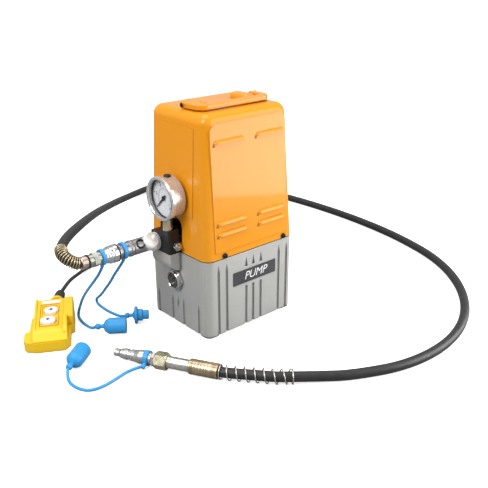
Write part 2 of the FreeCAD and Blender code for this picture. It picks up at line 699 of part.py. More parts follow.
node("coupler_sleeve", turned("coupler_sleeve", [(11.6, 70.5), (sr - 1.3, 70.5), (sr - 1.3, 72.6), (sr, 73.4), (sr, 79.4),
                                                 (sr - 1, 80.4), (sr - 1, 81.6), (sr - 0.4, 82.4), (sr - 0.4, 85), (sr - 1.6, 86.2),
                                                 (sr - 1.6, 88.6), (sr - 2.6, 90), (sr - 2.6, 92), (sr - 3.2, 93), (9.56, 93),
                                                 (9.56, 86), (11.6, 86)], cp, ax))
coil = Part.makeHelix(3.5, 14, 10.6)
prof = Part.Wire(Part.makeCircle(0.6, Vector(10.6, 0, 0), Vector(0, 1, 0.05)))
spring = Part.Wire(coil.Edges).makePipeShell([prof], True, True)
so = feature(spring)
so.Placement = Placement(Vector(bx - 72.0, yc, zc), rot_to(ax))
node("coupler_spring", common(so, cyl(11.4, 13.8, (bx - 72.1, yc, zc), ax)))


# ---------------------------------------------------------------- hose and its ends
def ring_with_eye(label, r_in, r_out, s0, s1, base, axis, eye_dir, eye_len):
    body = turned(label, [(r_in, s0), (r_out - 0.6, s0), (r_out, s0 + 0.6), (r_out, s1 - 0.6), (r_out - 0.6, s1), (r_in, s1)],
                  base, axis)
    m = (s0 + s1) / 2
    c = Vector(*[b + a * m for b, a in zip(base, axis)])
    e = Vector(*eye_dir)
    p = c + e * (f(r_out) - 1.0)
    return fuse(body, cut(cyl(2.9, eye_len, (p.x, p.y, p.z), eye_dir), cyl(r_out - 0.4, 60, (c - Vector(*axis) * 30), axis)))


rings = [ring_with_eye("ring1", 10, 13.2, 57.4, 63.0, cp, ax, (0, 0, -1), 3.6),
         ring_with_eye("ring2", 8.6, 12.4, 93.6, 98.8, cp, ax, (0, 0, -1), 3.6)]
node("tether_rings", group(*rings))

node("hose_nipple_pump_end", fuse(
    turned("nip_p", [(3, 66), (5.5, 66), (5.5, 74), (8.2, 75), (8.2, 93), (8.6, 93), (8.6, 99), (9.8, 99), (9.8, 105.5),
                     (9.2, 106.5), (9.2, 120.2), (8.6, 121), (3, 121)], cp, ax),
    hexa(19.6, 8, (bx - 103.5, yc, zc), ax, 10)))
node("hose_ferrule_pump_end", turned("fer_p", [(3, 121), (9.0, 121), (9.0, 122.4), (9.5, 122.8), (9.5, 130.2), (9.0, 131), (3, 131)], cp, ax))

route_hose = [(-241, 25, 142.5), (-250, 27, 146), (-256.5, 33.5, 152), (-258.5, 43.5, 157), (-252, 56.5, 160), (-237, 77, 159),
              (-207, 115, 151.8), (-165, 167, 138.5), (-101, 252, 112.5), (-21, 359, 77), (76, 470, 41), (176, 556, 15.5), (280, 605, 7.5),
              (385, 562, 7.5), (449, 440, 7.5), (470.3, 300.5, 7.5), (477.3, 189, 7.5), (473.7, 83, 7.5), (458.5, -23, 7.5),
              (423.6, -136.5, 7.5), (357.3, -229.8, 7.5), (269, -297.2, 7.5), (171, -328.4, 7.5), (74.2, -323, 7.5),
              (-6, -286, 7.5), (-40, -261, 8.4), (-70, -241, 11), (-93, -222.5, 11.4), (-115, -195.4, 11.4), (-136.3, -171.4, 11.5),
              (-142.2, -161, 11.5)]
hd = f(D["hose_d"])
hose = feature(tube_shape("hose", route_hose, hd))
node("hose", hose)
guard_pts = route_hose[:4]
g = Vector(*guard_pts[-1]) + (Vector(*route_hose[4]) - Vector(*guard_pts[-1])) * 0.82
guard = feature(tube_shape("hose guard", guard_pts + [(g.x, g.y, g.z)], 19.0, hd))
node("hose_guard_pump_end", cut(guard, cyl(9.7, 12.0, (bx - 119.0, yc, zc), ax)))

te = Vector(-142.2, -161, 11.5)
ta = Vector(-49.7, 86.8, 0)
ta.z = 0
ta.normalize()
tb = (te.x, te.y, te.z)
tx = (ta.x, ta.y, 0.0)
fr = D["ferrule_r"]
prof = [(3, 0), (fr - 0.4, 0), (fr, 0.6)]
for k in range(4):
    s = 3.0 + 1.7 * k
    prof += [(fr, s), (fr - 0.7, s + 0.4), (fr - 0.7, s + 0.9), (fr, s + 1.3)]
for k in range(5):
    s = 14.0 + 4.6 * k
    prof += [(fr, s), (fr - 0.35, s + 0.5), (fr - 0.35, s + 1.2), (fr, s + 1.7)]
for k in range(3):
    s = 36.0 + 1.7 * k
    prof += [(fr, s), (fr - 0.7, s + 0.4), (fr - 0.7, s + 0.9), (fr, s + 1.3)]
prof += [(fr, 42.4), (fr - 1.2, 44), (3, 44)]
node("hose_ferrule_tool_end", turned("fer_t", prof, tb, tx))
node("hose_shank_tool_end", turned("shank_t", [(3, 44), (8.6, 44), (8.6, 47), (8.9, 47.4), (8.9, 76), (8.2, 77.6), (3, 77.6)], tb, tx))
nutc = turned("nut_cham", [(0, 77), (11.3, 77), (14, 80), (14, 93.2), (11.4, 96.2), (0, 96.2)], tb, tx)
node("hose_nut_tool_end", cut(common(hexa(D["nut_af"], 18.6, (te + ta * 77.6), tx, 30), nutc), cyl(3, 40, (te + ta * 70), tx)))
pr, pl = D["nip_pilot_r"], D["nip_pilot_len"]
nt = 162.0
node("hose_nipple_tool_end", fuse(
    turned("nip_t", [(3, 96.2), (8.4, 96.2), (8.4, 101.5), (9.6, 102), (9.6, 105), (8.6, 105.6), (8.6, 113), (10.4, 113.6),
                     (10.4, 121), (9.8, 123), (8.8, 128), (8.6, 134), (7.4, 135), (7.4, 139.5), (8.2, 140.3), (8.2, 146),
                     (7.3, 147), (7.3, 150), (6.6, 151.5), (pr, 153), (pr, 161), (pr - 0.9, nt), (3, nt)], tb, tx),
    hexa(18.5, 5.0, (te + ta * 96.4), tx, 15)))
helix_pts = []
n_turn, per = 8, 14
gx, gy_, gz_ = [], [], []


def on_route(pts, s):
    """Point and direction at a distance along the polyline from its end."""
    P = [Vector(*p) for p in reversed(pts)]
    for a, b in zip(P, P[1:]):
        l = (b - a).Length
        if s <= l:
            return a + (b - a) * (s / l), (b - a) / l
        s -= l
    return P[-1], (P[-1] - P[-2]).normalize()


# The loose spring over the hose behind the crimp: rings, one per turn, joined to a plain band at its end.
spring_rings = []
for k in range(9):
    s = 3.0 + 12.3 * k
    p, t = on_route(route_hose, s)
    p2, t2 = on_route(route_hose, s + 6)
    z = max(p.z, f(D["spring_r"]) + f(D["spring_wire"]) / 2 + 0.02)
    spring_rings.append(torus(D["spring_r"], D["spring_wire"] / 2, (p.x, p.y, z), (t2.x, t2.y, 0.0)))
node("hose_spring_tool_end", group(*spring_rings))

# ---------------------------------------------------------------- tethers, caps, plug
td = f(D["tether_d"])
route_t1 = [(-206.2, 25, 127.5), (-206.2, 35, 113), (-207.8, 52, 94), (-208.2, 74, 72), (-206.5, 96, 49), (-203, 114, 27),
            (-201, 125, 12), (-203, 124, 3.2), (-206, 110, 2.5), (-207.5, 94, 2.5), (-206, 78, 2.8), (-205.6, 68, 7.5), (-206.8, 62, 12.5)]
route_t2 = [(-170.2, 25, 126.7), (-172, 35, 113), (-173, 50, 96), (-172, 66, 77), (-170, 86, 58), (-166, 108, 38), (-161, 130, 22),
            (-156.5, 146, 11), (-155.5, 145, 3), (-156.5, 131, 2.5), (-156.5, 112, 2.5), (-153.5, 92, 2.5), (-151.5, 74, 5),
            (-153.6, 58.6, 13.6)]
route_t3 = [(-207.8, -72.6, 6.2), (-226.4, -64, 3.4), (-252.5, -69.9, 2.5), (-275.5, -73.8, 2.5), (-295, -70.2, 2.5),
            (-304.8, -51.5, 2.5), (-306, -29, 4.5), (-296.2, -16.1, 12.3)]
node("dust_plug_tether", feature(tube_shape("tether of the dust plug", route_t2, td)))
node("dust_cap_tether", feature(tube_shape("tether of the hose end cap", route_t1, td)))
node("nipple_cap_tether", feature(tube_shape("tether of the nipple cap", route_t3, td)))
cpr, cw = D["cap_r"], D["cap_wall"]


def cap_profile(more):
    return [(0, -5), (3.4, -4.2), (4.8, -1.6), (4.8, 1.2), (3.2, 3.6), (3.2, 8), (8.4, 10.6), (cpr - 1, 15), (cpr, 17),
            (cpr, 43 + more), (cpr - 0.5, 43.5 + more), (cpr - cw, 43.5 + more), (cpr - cw, 19), (0, 19)]


def heading(deg, up=0.0):
    a = math.radians(deg)
    b = math.radians(up)
    return (math.cos(a) * math.cos(b), math.sin(a) * math.cos(b), math.sin(b))


cap1 = turned("cap1", cap_profile(0), (-203.4, 59.5, 12.5), heading(-36))
node("dust_cap_hose_end", cap1)
cap3 = turned("cap3", cap_profile(4), (-292.6, -13.4, 12.5), heading(37))
c3 = te + ta * 109.3
ring3 = turned("ring3", [(8.7, 105.9), (11.2, 105.9), (11.4, 106.4), (11.4, 112.2), (11.2, 112.8), (8.7, 112.8)], tb, tx)
eye3 = cyl(3.0, 9, (c3.x - 9 * 0.868, c3.y - 9 * 0.497, 8.5), (-0.868, -0.497, -0.42))
eye3 = cut(eye3, cyl(11.0, 60, (te + ta * 80), tx))
node("nipple_cap", group(cap3, fuse(ring3, eye3)))
pf = D["plug_flange_r"]
plug = turned("plug_b", [(0, -4.5), (3.4, -3.8), (4.4, -1.4), (4.4, 1.4), (3, 3.4), (3, 8), (7, 10), (9, 11), (pf - 1, 11.4),
                         (pf, 12.4), (pf, 15.2), (pf - 1, 16.2), (9.6, 16.6), (9.6, 23), (9.0, 24), (7.4, 24.6), (7.4, 33),
                         (6.6, 34), (4.4, 34), (4.4, 24), (0, 24)], (-151.4, 57, 14.05), heading(-35))
node("dust_plug", plug)

# ---------------------------------------------------------------- handle
ht = D["handle_t"]
hz0 = 344.4
hy1, hy0 = 1.0, 1.0 - 40.0
hw2 = D["handle_w"] / 2
hb = D["handle_bar"]
loop = padded("handle", [(-hw2, hy1 + 3), (-hw2, hy0), (hw2, hy0), (hw2, hy1 + 3), (hw2 - hb, hy1 + 3), (hw2 - hb, hy0 + hb),
                         (-hw2 + hb, hy0 + hb), (-hw2 + hb, hy1 + 3)], ht, at=(0, 0, hz0))
body_fillet(loop, lambda e: upright(e) and e.BoundBox.YMax < hy0 + 1 and abs(e.BoundBox.XMax) > 69, 17)
body_fillet(loop, lambda e: upright(e) and abs(e.BoundBox.YMax - hy0 - 12) < 0.5, 6)
body_fillet(loop, lambda e: upright(e) and e.BoundBox.YMax > hy1 + 2 and abs(e.BoundBox.XMax) > 50, 3.5)
body_fillet(loop, lambda e: at_z(ht)(e) or at_z(0)(e), 1.8)
pivot_y, pivot_z = 0.0, hz0 + f(ht) / 2
node("handle", cut(loop, cyl(2.56, 160, (-80, pivot_y, pivot_z), (1, 0, 0))))
brk = []
for s in (-1, 1):
    lug = padded("lug", rect(-11.6, 11.6, -22, 22), 8.6, at=(s * bracket_x, 2, 343))
    body_fillet(lug, upright, 11)
    body_fillet(lug, at_z(8.6), 5)
    brk.append(cut(lug, cyl(2.5, 30, (s * bracket_x + (-2 if s > 0 else -28) + (0 if s > 0 else 0), pivot_y, pivot_z), (1, 0, 0)),
                   cyl(2.0, 12, (s * bracket_x, -12, 340)), cyl(2.0, 12, (s * bracket_x, 16, 340))))
pins = []
for s in (-1, 1):
    x0 = s * 71.6
    pins.append(turned("hinge_pin", [(0, 0), (4.2, 0), (4.2, 0.9), (3.6, 1.4), (2.5, 1.4), (2.5, 27), (0, 27)],
                       (x0, pivot_y, pivot_z), (-s, 0, 0)))
node("handle_mounts", group(*(brk + pins)))

# ---------------------------------------------------------------- motor
str_r = D["stator_r"]
node("motor_stator", cut(turned("stator", [(D["rotor_r"] + D["air_gap"], 170), (str_r, 170), (str_r, 232),
                                           (D["rotor_r"] + D["air_gap"], 232)]),
                         *[cyl(2.2, 80, (45 * math.cos(a), 45 * math.sin(a), 165)) for a in
                           [math.radians(45 + 90 * k) for k in range(4)]]))
node("motor_windings", group(turned("wind_lo", [(33, 158), (46, 158), (47, 160), (47, 170), (33, 170)]),
                             turned("wind_hi", [(33, 232), (47, 232), (47, 242), (46, 244), (33, 244)])))
br_o = D["bearing_r"]
frame_lo = turned("frame_lo", [(br_o, 137), (56, 137), (56, 170), (50, 170), (50, 148), (br_o + 0.0, 148)])
frame_hi = turned("frame_hi", [(br_o, 250), (40, 250), (50, 246), (50, 232), (54, 232), (54, 250), (44, 261), (br_o, 261)])
node("motor_frame", group(cut(frame_lo, *[box((-60, -9, 152), (120, 18, 12)), box((-9, -60, 152), (18, 120, 12))]), frame_hi))
node("motor_bearings", group(turned("brg_lo", [(D["shaft_r"] + 0.03, 137.2), (br_o, 137.2), (br_o, 147.8), (D["shaft_r"] + 0.03, 147.8)]),
                             turned("brg_hi", [(D["shaft_r"] + 0.03, 250.2), (br_o, 250.2), (br_o, 260.8), (D["shaft_r"] + 0.03, 260.8)])))
shr = D["shaft_r"]
shaft = turned("shaft", [(0, 92), (shr - 1.5, 92), (shr - 1.5, 100), (shr, 100), (shr, 282), (shr - 1, 283), (0, 283)])
eccb = turned("ecc", [(0, 100.5), (13.5, 100.5), (13.5, 115.5), (0, 115.5)], (f(D["ecc"]), 0, 0))
node("motor_shaft", fuse(shaft, eccb))
node("rotor", turned("rotor", [(shr, 168), (18, 168), (18, 171), (D["rotor_r"], 171), (D["rotor_r"], 231), (18, 231), (18, 235), (shr, 235)]))
blades = [box((16, -0.8, 268), (26, 1.6, 11), Rotation(Vector(0, 0, 1), 0)) for k in range(9)]
for k, b in enumerate(blades):
    b.Placement = Placement(Vector(0, 0, 0), Rotation(Vector(0, 0, 1), 40.0 * k)).multiply(b.Placement)
node("cooling_fan", fuse(turned("fan", [(shr, 266), (44, 266), (44, 268), (13, 268), (13, 280), (shr, 280)]), *blades))

# ---------------------------------------------------------------- pump in the tank
pump_c = padded("pump_body", [(46 * math.cos(math.radians(30 + 60 * k)), 46 * math.sin(math.radians(30 + 60 * k))) for k in range(6)],
                39, at=(0, 0, 90))
bores = [cyl(6.0, 60, (0, 0, 108), (math.cos(a), math.sin(a), 0)) for a in [math.radians(90 + 120 * k) for k in range(3)]]
node("pump_body", cut(pump_c, cyl(19, 33, (0, 0, 85)), cyl(9, 60, (0, 0, 85)), *bores))
pist = []
for k in range(3):
    a = math.radians(90 + 120 * k)
    u = (math.cos(a), math.sin(a), 0)
    pist.append(fuse(cyl(5.95, 18, (u[0] * 16.2, u[1] * 16.2, 108), u), cyl(2.5, 6, (u[0] * 34, u[1] * 34, 108), u)))
node("pump_pistons", group(*pist))
node("suction_strainer", cut(turned("strainer", [(0, 14), (16, 14), (17, 15), (17, 38), (16, 39), (5, 39), (5, 50), (0, 50)], (-45, -40, 0)),
                             cyl(3, 20, (-45, -40, 34))))
node("solenoid_valve", fuse(box((-78, -53, 137), (24, 24, 12)), cyl(11.5, 34, (-66, -41, 149)), cyl(5, 5, (-66, -41, 183))))
ctl = padded("control", rect(59.5, 79.5, -42, 42), 76, at=(0, 0, 141))
body_fillet(ctl, upright, 3)
node("control_box", ctl)

# ---------------------------------------------------------------- cable glands
gl = []
for name, bore in (("pendant", f(D["cable_d"]) / 2), ("mains", 4.0)):
    gx_ = gland_x[name]
    g0 = gy + 0.3
    tip = 26.0 if name == "pendant" else 22.0
    gl.append(fuse(
        turned("gland_" + name, [(bore, -8), (8, -8), (8, 0), (11.5, 0), (11.5, 3), (10, 4), (10, 9), (7.4, 12), (bore + 1.8, tip), (bore, tip)],
               (gx_, g0, gland_z), (0, 1, 0)),
        cut(hexa(21, 5, (gx_, g0 - 7.5, gland_z), (0, 1, 0)), cyl(bore, 30, (gx_, g0 - 12, gland_z), (0, 1, 0)))))
node("cable_glands", group(*gl))

# ---------------------------------------------------------------- pendant cable
cd = f(D["cable_d"])
gx_ = gland_x["pendant"]
coil_c = (70.0, 158.0)
cr0 = f(D["coil_r"])
ch2 = f(D["coil_half"])
route_c1 = [(gx_, gy + 26.3, gland_z), (gx_, gy + 42, 167), (gx_ + 0.5, gy + 56, 157), (gx_ + 1, gy + 64, 138), (gx_ - 1, gy + 67, 108),
            (gx_ - 5, gy + 70, 76), (gx_ - 11, gy + 76, 48), (gx_ - 15, gy + 90, 34), (gx_ - 9, gy + 108, 29.6), (gx_ + 8, gy + 119, 29.3)]
route_c2 = [(coil_c[0], coil_c[1] + cr0 + ch2 - cd / 2, 3.3), (88, 201.5, 3.3), (107, 213, 3.3), (114, 240, 3.3), (104, 272, 3.3),
            (80, 294, 3.3), (45, 303, 3.3), (0, 304.5, 3.3), (-43, 299, 3.3), (-81, 286.5, 3.3), (-104, 277.5, 5),
            (-131.4, 255.4, 10), (-159.6, 229.7, 17), (-184.8, 200.4, 22.4), (-197.6, 186, 24), (-203, 179.7, 24), (-217.7, 162.5, 24)]
node("pendant_cable", group(feature(tube_shape("cable, gland to coil", route_c1, cd)),
                            feature(tube_shape("cable, coil to pendant", route_c2, cd))))
node("pendant_cable_coil", turned("coil", [(D["coil_r"] - D["coil_half"], 0), (D["coil_r"] + D["coil_half"], 0),
                                           (D["coil_r"] + D["coil_half"], D["coil_h"]), (D["coil_r"] - D["coil_half"], D["coil_h"])],
                                  (coil_c[0], coil_c[1], 0)))

# ---------------------------------------------------------------- pendant
ph = -29.1
pc = Vector(-255, 105.5, 0)
prot = Rotation(Vector(0, 0, 1), ph)


def place_pendant(o):
    o.Placement = Placement(pc, prot).multiply(o.Placement)
    return o


pw2, pl2 = D["pend_w"] / 2, D["pend_l"] / 2
base = padded("pend_base", [(-pw2 + 1, pl2), (pw2 - 1, pl2), (pw2 + 3, pl2 - 5), (pw2 + 3.5, -4), (pw2 - 2, -8), (pw2 - 2, -pl2 + 11),
                            (pw2 - 10, -pl2 - 1), (-pw2 + 3, -pl2 - 1), (-pw2 - 10, -pl2 + 4), (-pw2 - 14, -pl2 + 11),
                            (-pw2 - 14, -21), (-pw2 - 7, -17), (-pw2 - 6, 24), (-pw2, 28)], 17)
body_fillet(base, upright, 2.5)
body_fillet(base, at_z(0), 1.5)
topz = D["pend_h"]
topc = padded("pend_top", [(-pl2 + 0.5, 17.2), (pl2, 17.2), (pl2, topz - 3.6), (pl2 - 4, topz), (-38, topz - 5.2), (-44, topz - 7),
                           (-pl2 + 0.5, 18.4)], 50, plane="YZ_Plane", at=(-3, 0, 0), mid=True)
body_fillet(topc, lambda e: e.BoundBox.XLength > 40 and e.BoundBox.ZMin > 26, 2.0)
rail_w = padded("pend_rail", [(-6, 17.2), (52, 17.2), (53.5, 19), (53.5, 33), (49, 38), (-3, 35), (-6, 31)], 14, plane="YZ_Plane",
                at=(24, 0, 0), mid=True)
body_fillet(rail_w, lambda e: e.BoundBox.ZMax > 25, 2.6)
rail_n = padded("pend_rail_n", [(-46, 20), (-4, 20), (-4, 34.6), (-37, 32.6), (-46, 27.8)], 6.5, plane="YZ_Plane", at=(18.75, 0, 0), mid=True)
body_fillet(rail_n, lambda e: e.BoundBox.ZMin > 25, 1.6)
rail_l = padded("pend_rail_l", [(-42, 20), (52, 20), (52, 36), (48, 36.4), (-36, 31.4), (-42, 28.4)], 4, plane="YZ_Plane", at=(-26, 0, 0), mid=True)
body_fillet(rail_l, lambda e: e.BoundBox.ZMin > 26, 1.4)
neck = turned("pend_neck", [(5.5, 0), (11, 0), (11, 7.5), (8.9, 10), (5.5, 10)], (4, f(pl2), 24), (0, 1, 0))
btn = {"button_up": (-2.5, 14.4, 21.5, 20.5, 35.8), "button_down": (-6.5, -14.8, 23.0, 22.0, 34.2)}


def oval(cx, cy, w, l, z, height, grow=0.0):
    r = l / 2 + grow
    hw = w / 2 - l / 2
    return fuse(box((cx - hw, cy - r, z), (2 * hw, 2 * r, height)), cyl(r, height, (cx - hw, cy, z)), cyl(r, height, (cx + hw, cy, z)))


wells = []
bg = f(D["button_gap"])
for n, (cx, cy, w, l, zt) in btn.items():
    wells.append(oval(cx, cy, w, l, 14, 40, bg))
window = padded("pend_window", [(-31, 45), (36, 45), (36, f(topz) - 2.2), (-31, f(topz) - 6.1)], 29, plane="YZ_Plane", at=(-4.5, 0, 0), mid=True)
core = cut(fuse(topc, rail_w, rail_n, rail_l, neck), *(wells + [window, box((-23.5, -42, 15), (41, 84, 9))]))
node("pendant_cover", place_pendant(core))
node("pendant_base", place_pendant(group(base, box((-20, -30, 17.0), (34, 60, 1.6)))))
ub = (math.sin(math.radians(11.5)), math.cos(math.radians(11.5)), 0.0)
cab_r = f(D["cable_d"]) / 2
boot = cut(turned("pend_boot", [(cab_r, -3), (8.4, -3), (8.4, 20), (7.6, 25), (5.4, 28.4), (cab_r + 0.9, 29.6), (cab_r, 29.6)],
                  (4.3, 65, 24), ub), box((-20, 50, 0), (50, 15, 50)))
node("pendant_boot", place_pendant(boot))
for n, (cx, cy, w, l, zt) in btn.items():
    top = oval(cx, cy, w, l, 20.6, zt - 20.6)
    foot = oval(cx, cy, w + 3, l + 3, 20.6, 2.0)
    b = part_fillet(top, lambda e: at_z(zt)(e), 1.8)
    node("pendant_" + n, place_pendant(fuse(b, foot)))

# ---------------------------------------------------------------- checks and files
doc.recompute()
bad = []
for o in doc.Objects:
    st = [s for s in o.State if s in ("Invalid", "Error")]
    if st:
        bad.append((o.Name, o.Label, st))
for o in out:
    if o.Shape.isNull() or not o.Shape.isValid() or not o.Shape.Solids:
        bad.append((o.Name, o.Label, "shape null, invalid or without solids"))
if bad:
    raise RuntimeError("failed objects: %s" % bad[:12])
labels = [o.Label for o in out]
assert len(set(labels)) == len(labels), "two sub-parts share a label"
print("%d sub-parts" % len(out))
os.makedirs("parts", exist_ok=True)
for o in out:
    o.Shape.exportStep("parts/%s.step" % o.Label)
print("written")
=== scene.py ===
import json
import math

import bmesh
import bpy
from mathutils import Matrix, Quaternion, Vector

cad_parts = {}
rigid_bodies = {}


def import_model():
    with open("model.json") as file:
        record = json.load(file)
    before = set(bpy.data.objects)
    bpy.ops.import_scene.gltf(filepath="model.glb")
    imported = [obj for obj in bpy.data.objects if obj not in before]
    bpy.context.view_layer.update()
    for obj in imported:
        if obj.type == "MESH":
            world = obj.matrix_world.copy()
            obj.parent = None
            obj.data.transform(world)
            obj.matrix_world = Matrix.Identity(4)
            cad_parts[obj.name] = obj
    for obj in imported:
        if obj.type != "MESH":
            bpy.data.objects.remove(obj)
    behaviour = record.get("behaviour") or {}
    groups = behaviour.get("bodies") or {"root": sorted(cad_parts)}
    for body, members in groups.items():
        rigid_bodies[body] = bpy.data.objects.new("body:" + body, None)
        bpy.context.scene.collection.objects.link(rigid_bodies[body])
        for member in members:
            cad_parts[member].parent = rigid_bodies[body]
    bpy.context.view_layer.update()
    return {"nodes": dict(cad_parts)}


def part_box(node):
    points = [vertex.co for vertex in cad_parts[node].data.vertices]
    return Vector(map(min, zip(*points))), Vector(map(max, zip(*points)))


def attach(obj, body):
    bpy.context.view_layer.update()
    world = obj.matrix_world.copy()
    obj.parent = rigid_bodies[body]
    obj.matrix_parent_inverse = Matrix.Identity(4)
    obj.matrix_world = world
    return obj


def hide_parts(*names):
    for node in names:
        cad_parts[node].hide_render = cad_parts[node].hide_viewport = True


for o in list(bpy.data.objects):
    bpy.data.objects.remove(o, do_unlink=True)

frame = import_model()
N = frame["nodes"]
MM = 0.001


# ------------------------------------------------------------------ materials
class Mat:
    """A Principled material and short ways to wire detail into it."""

    def __init__(self, name, color, rough=0.4, metal=0.0, **more):
        self.m = bpy.data.materials.new(name)
        self.m.use_nodes = True
        self.t = self.m.node_tree
        self.b = self.t.nodes["Principled BSDF"]
        self.color = (*color, 1.0)
        self.b.inputs["Base Color"].default_value = self.color
        self.b.inputs["Roughness"].default_value = rough
        self.b.inputs["Metallic"].default_value = metal
        for k, v in more.items():
            self.b.inputs[k.replace("_", " ")].default_value = v
        self.rough = rough
        self.co = self.t.nodes.new("ShaderNodeTexCoord")
        self.height = None

    def link(self, a, b):
        self.t.links.new(a, b)

    def mapped(self, scale=(1, 1, 1), rot=(0, 0, 0)):
        mp = self.t.nodes.new("ShaderNodeMapping")
        mp.inputs["Scale"].default_value = scale
        mp.inputs["Rotation"].default_value = rot
        self.link(self.co.outputs["Object"], mp.inputs["Vector"])
        return mp.outputs["Vector"]

    def noise(self, scale, detail=3.0, rough=0.55, stretch=None, rot=(0, 0, 0), distort=0.0):
        n = self.t.nodes.new("ShaderNodeTexNoise")
        n.inputs["Scale"].default_value = scale
        n.inputs["Detail"].default_value = detail
        n.inputs["Roughness"].default_value = rough
        n.inputs["Distortion"].default_value = distort
        self.link(self.mapped(stretch or (1, 1, 1), rot), n.inputs["Vector"])
        return n.outputs["Fac"]

    def voronoi(self, scale, stretch=None, feature="F1"):
        n = self.t.nodes.new("ShaderNodeTexVoronoi")
        n.feature = feature
        n.inputs["Scale"].default_value = scale
        self.link(self.mapped(stretch or (1, 1, 1)), n.inputs["Vector"])
        return n.outputs["Distance"]

    def wave(self, scale, direction="X", kind="BANDS", distort=0.0, profile="SIN", rot=(0, 0, 0)):
        n = self.t.nodes.new("ShaderNodeTexWave")
        n.wave_type = kind
        if kind == "BANDS":
            n.bands_direction = direction
        else:
            n.rings_direction = direction
        n.wave_profile = profile
        n.inputs["Scale"].default_value = scale
        n.inputs["Distortion"].default_value = distort
        self.link(self.mapped(rot=rot), n.inputs["Vector"])
        return n.outputs["Fac"]

    def ramp(self, fac, lo, hi, a=0.0, b=1.0):
        r = self.t.nodes.new("ShaderNodeMapRange")
        r.inputs["From Min"].default_value = lo
        r.inputs["From Max"].default_value = hi
        r.inputs["To Min"].default_value = a
        r.inputs["To Max"].default_value = b
        self.link(fac, r.inputs["Value"])
        return r.outputs["Result"]

    def maths(self, op, a, b):
        n = self.t.nodes.new("ShaderNodeMath")
        n.operation = op
        for i, x in enumerate((a, b)):
            if isinstance(x, (int, float)):
                n.inputs[i].default_value = x
            else:
                self.link(x, n.inputs[i])
        return n.outputs[0]

    def tint(self, fac, other):
        """Mixes another colour in by a factor."""
        mx = self.t.nodes.new("ShaderNodeMix")
        mx.data_type = "RGBA"
        self.link(fac, mx.inputs["Factor"])
        src = self.b.inputs["Base Color"]
        if src.is_linked:
            self.link(src.links[0].from_socket, mx.inputs["A"])
        else:
            mx.inputs["A"].default_value = self.color
        mx.inputs["B"].default_value = (*other, 1.0)
        self.link(mx.outputs["Result"], src)
        return self

    def roughen(self, fac, lo, hi):
        self.link(self.ramp(fac, 0.25, 0.75, lo, hi), self.b.inputs["Roughness"])
        return self

    def bump(self, height, dist, strength=1.0, soft=0.0):
        """Adds a height map; soft rounds sharp edges by that radius in metres."""
        n = self.t.nodes.new("ShaderNodeBump")
        n.inputs["Strength"].default_value = strength
        n.inputs["Distance"].default_value = dist
        self.link(height, n.inputs["Height"])
        if self.height is not None:
            self.link(self.height, n.inputs["Normal"])
        elif soft:
            self.link(self.soften(soft), n.inputs["Normal"])
        self.height = n.outputs["Normal"]
        self.link(self.height, self.b.inputs["Normal"])
        return self

    def soften(self, radius):
        bv = self.t.nodes.new("ShaderNodeBevel")
        bv.samples = 4
        bv.inputs["Radius"].default_value = radius
        return bv.outputs["Normal"]

    def paint_crevice_shade(self, dist, dark, amount=0.8, power=(0.35, 0.95)):
        """Painted shade: darkens grooves and inner corners by ambient occlusion."""
        n = self.t.nodes.new("ShaderNodeAmbientOcclusion")
        n.samples = 6
        n.inputs["Distance"].default_value = dist
        return self.tint(self.ramp(n.outputs["AO"], power[0], power[1], amount, 0.0), dark)

    def edge(self, radius, lo=0.15, hi=0.6):
        """1 on sharp outer edges, from the rounded normal against the true one."""
        g = self.t.nodes.new("ShaderNodeNewGeometry")
        d = self.t.nodes.new("ShaderNodeVectorMath")
        d.operation = "DOT_PRODUCT"
        self.link(self.soften(radius), d.inputs[0])
        self.link(g.outputs["Normal"], d.inputs[1])
        inv = self.maths("SUBTRACT", 1.0, d.outputs["Value"])
        return self.ramp(inv, lo * 0.3, hi * 0.3)


M = {}


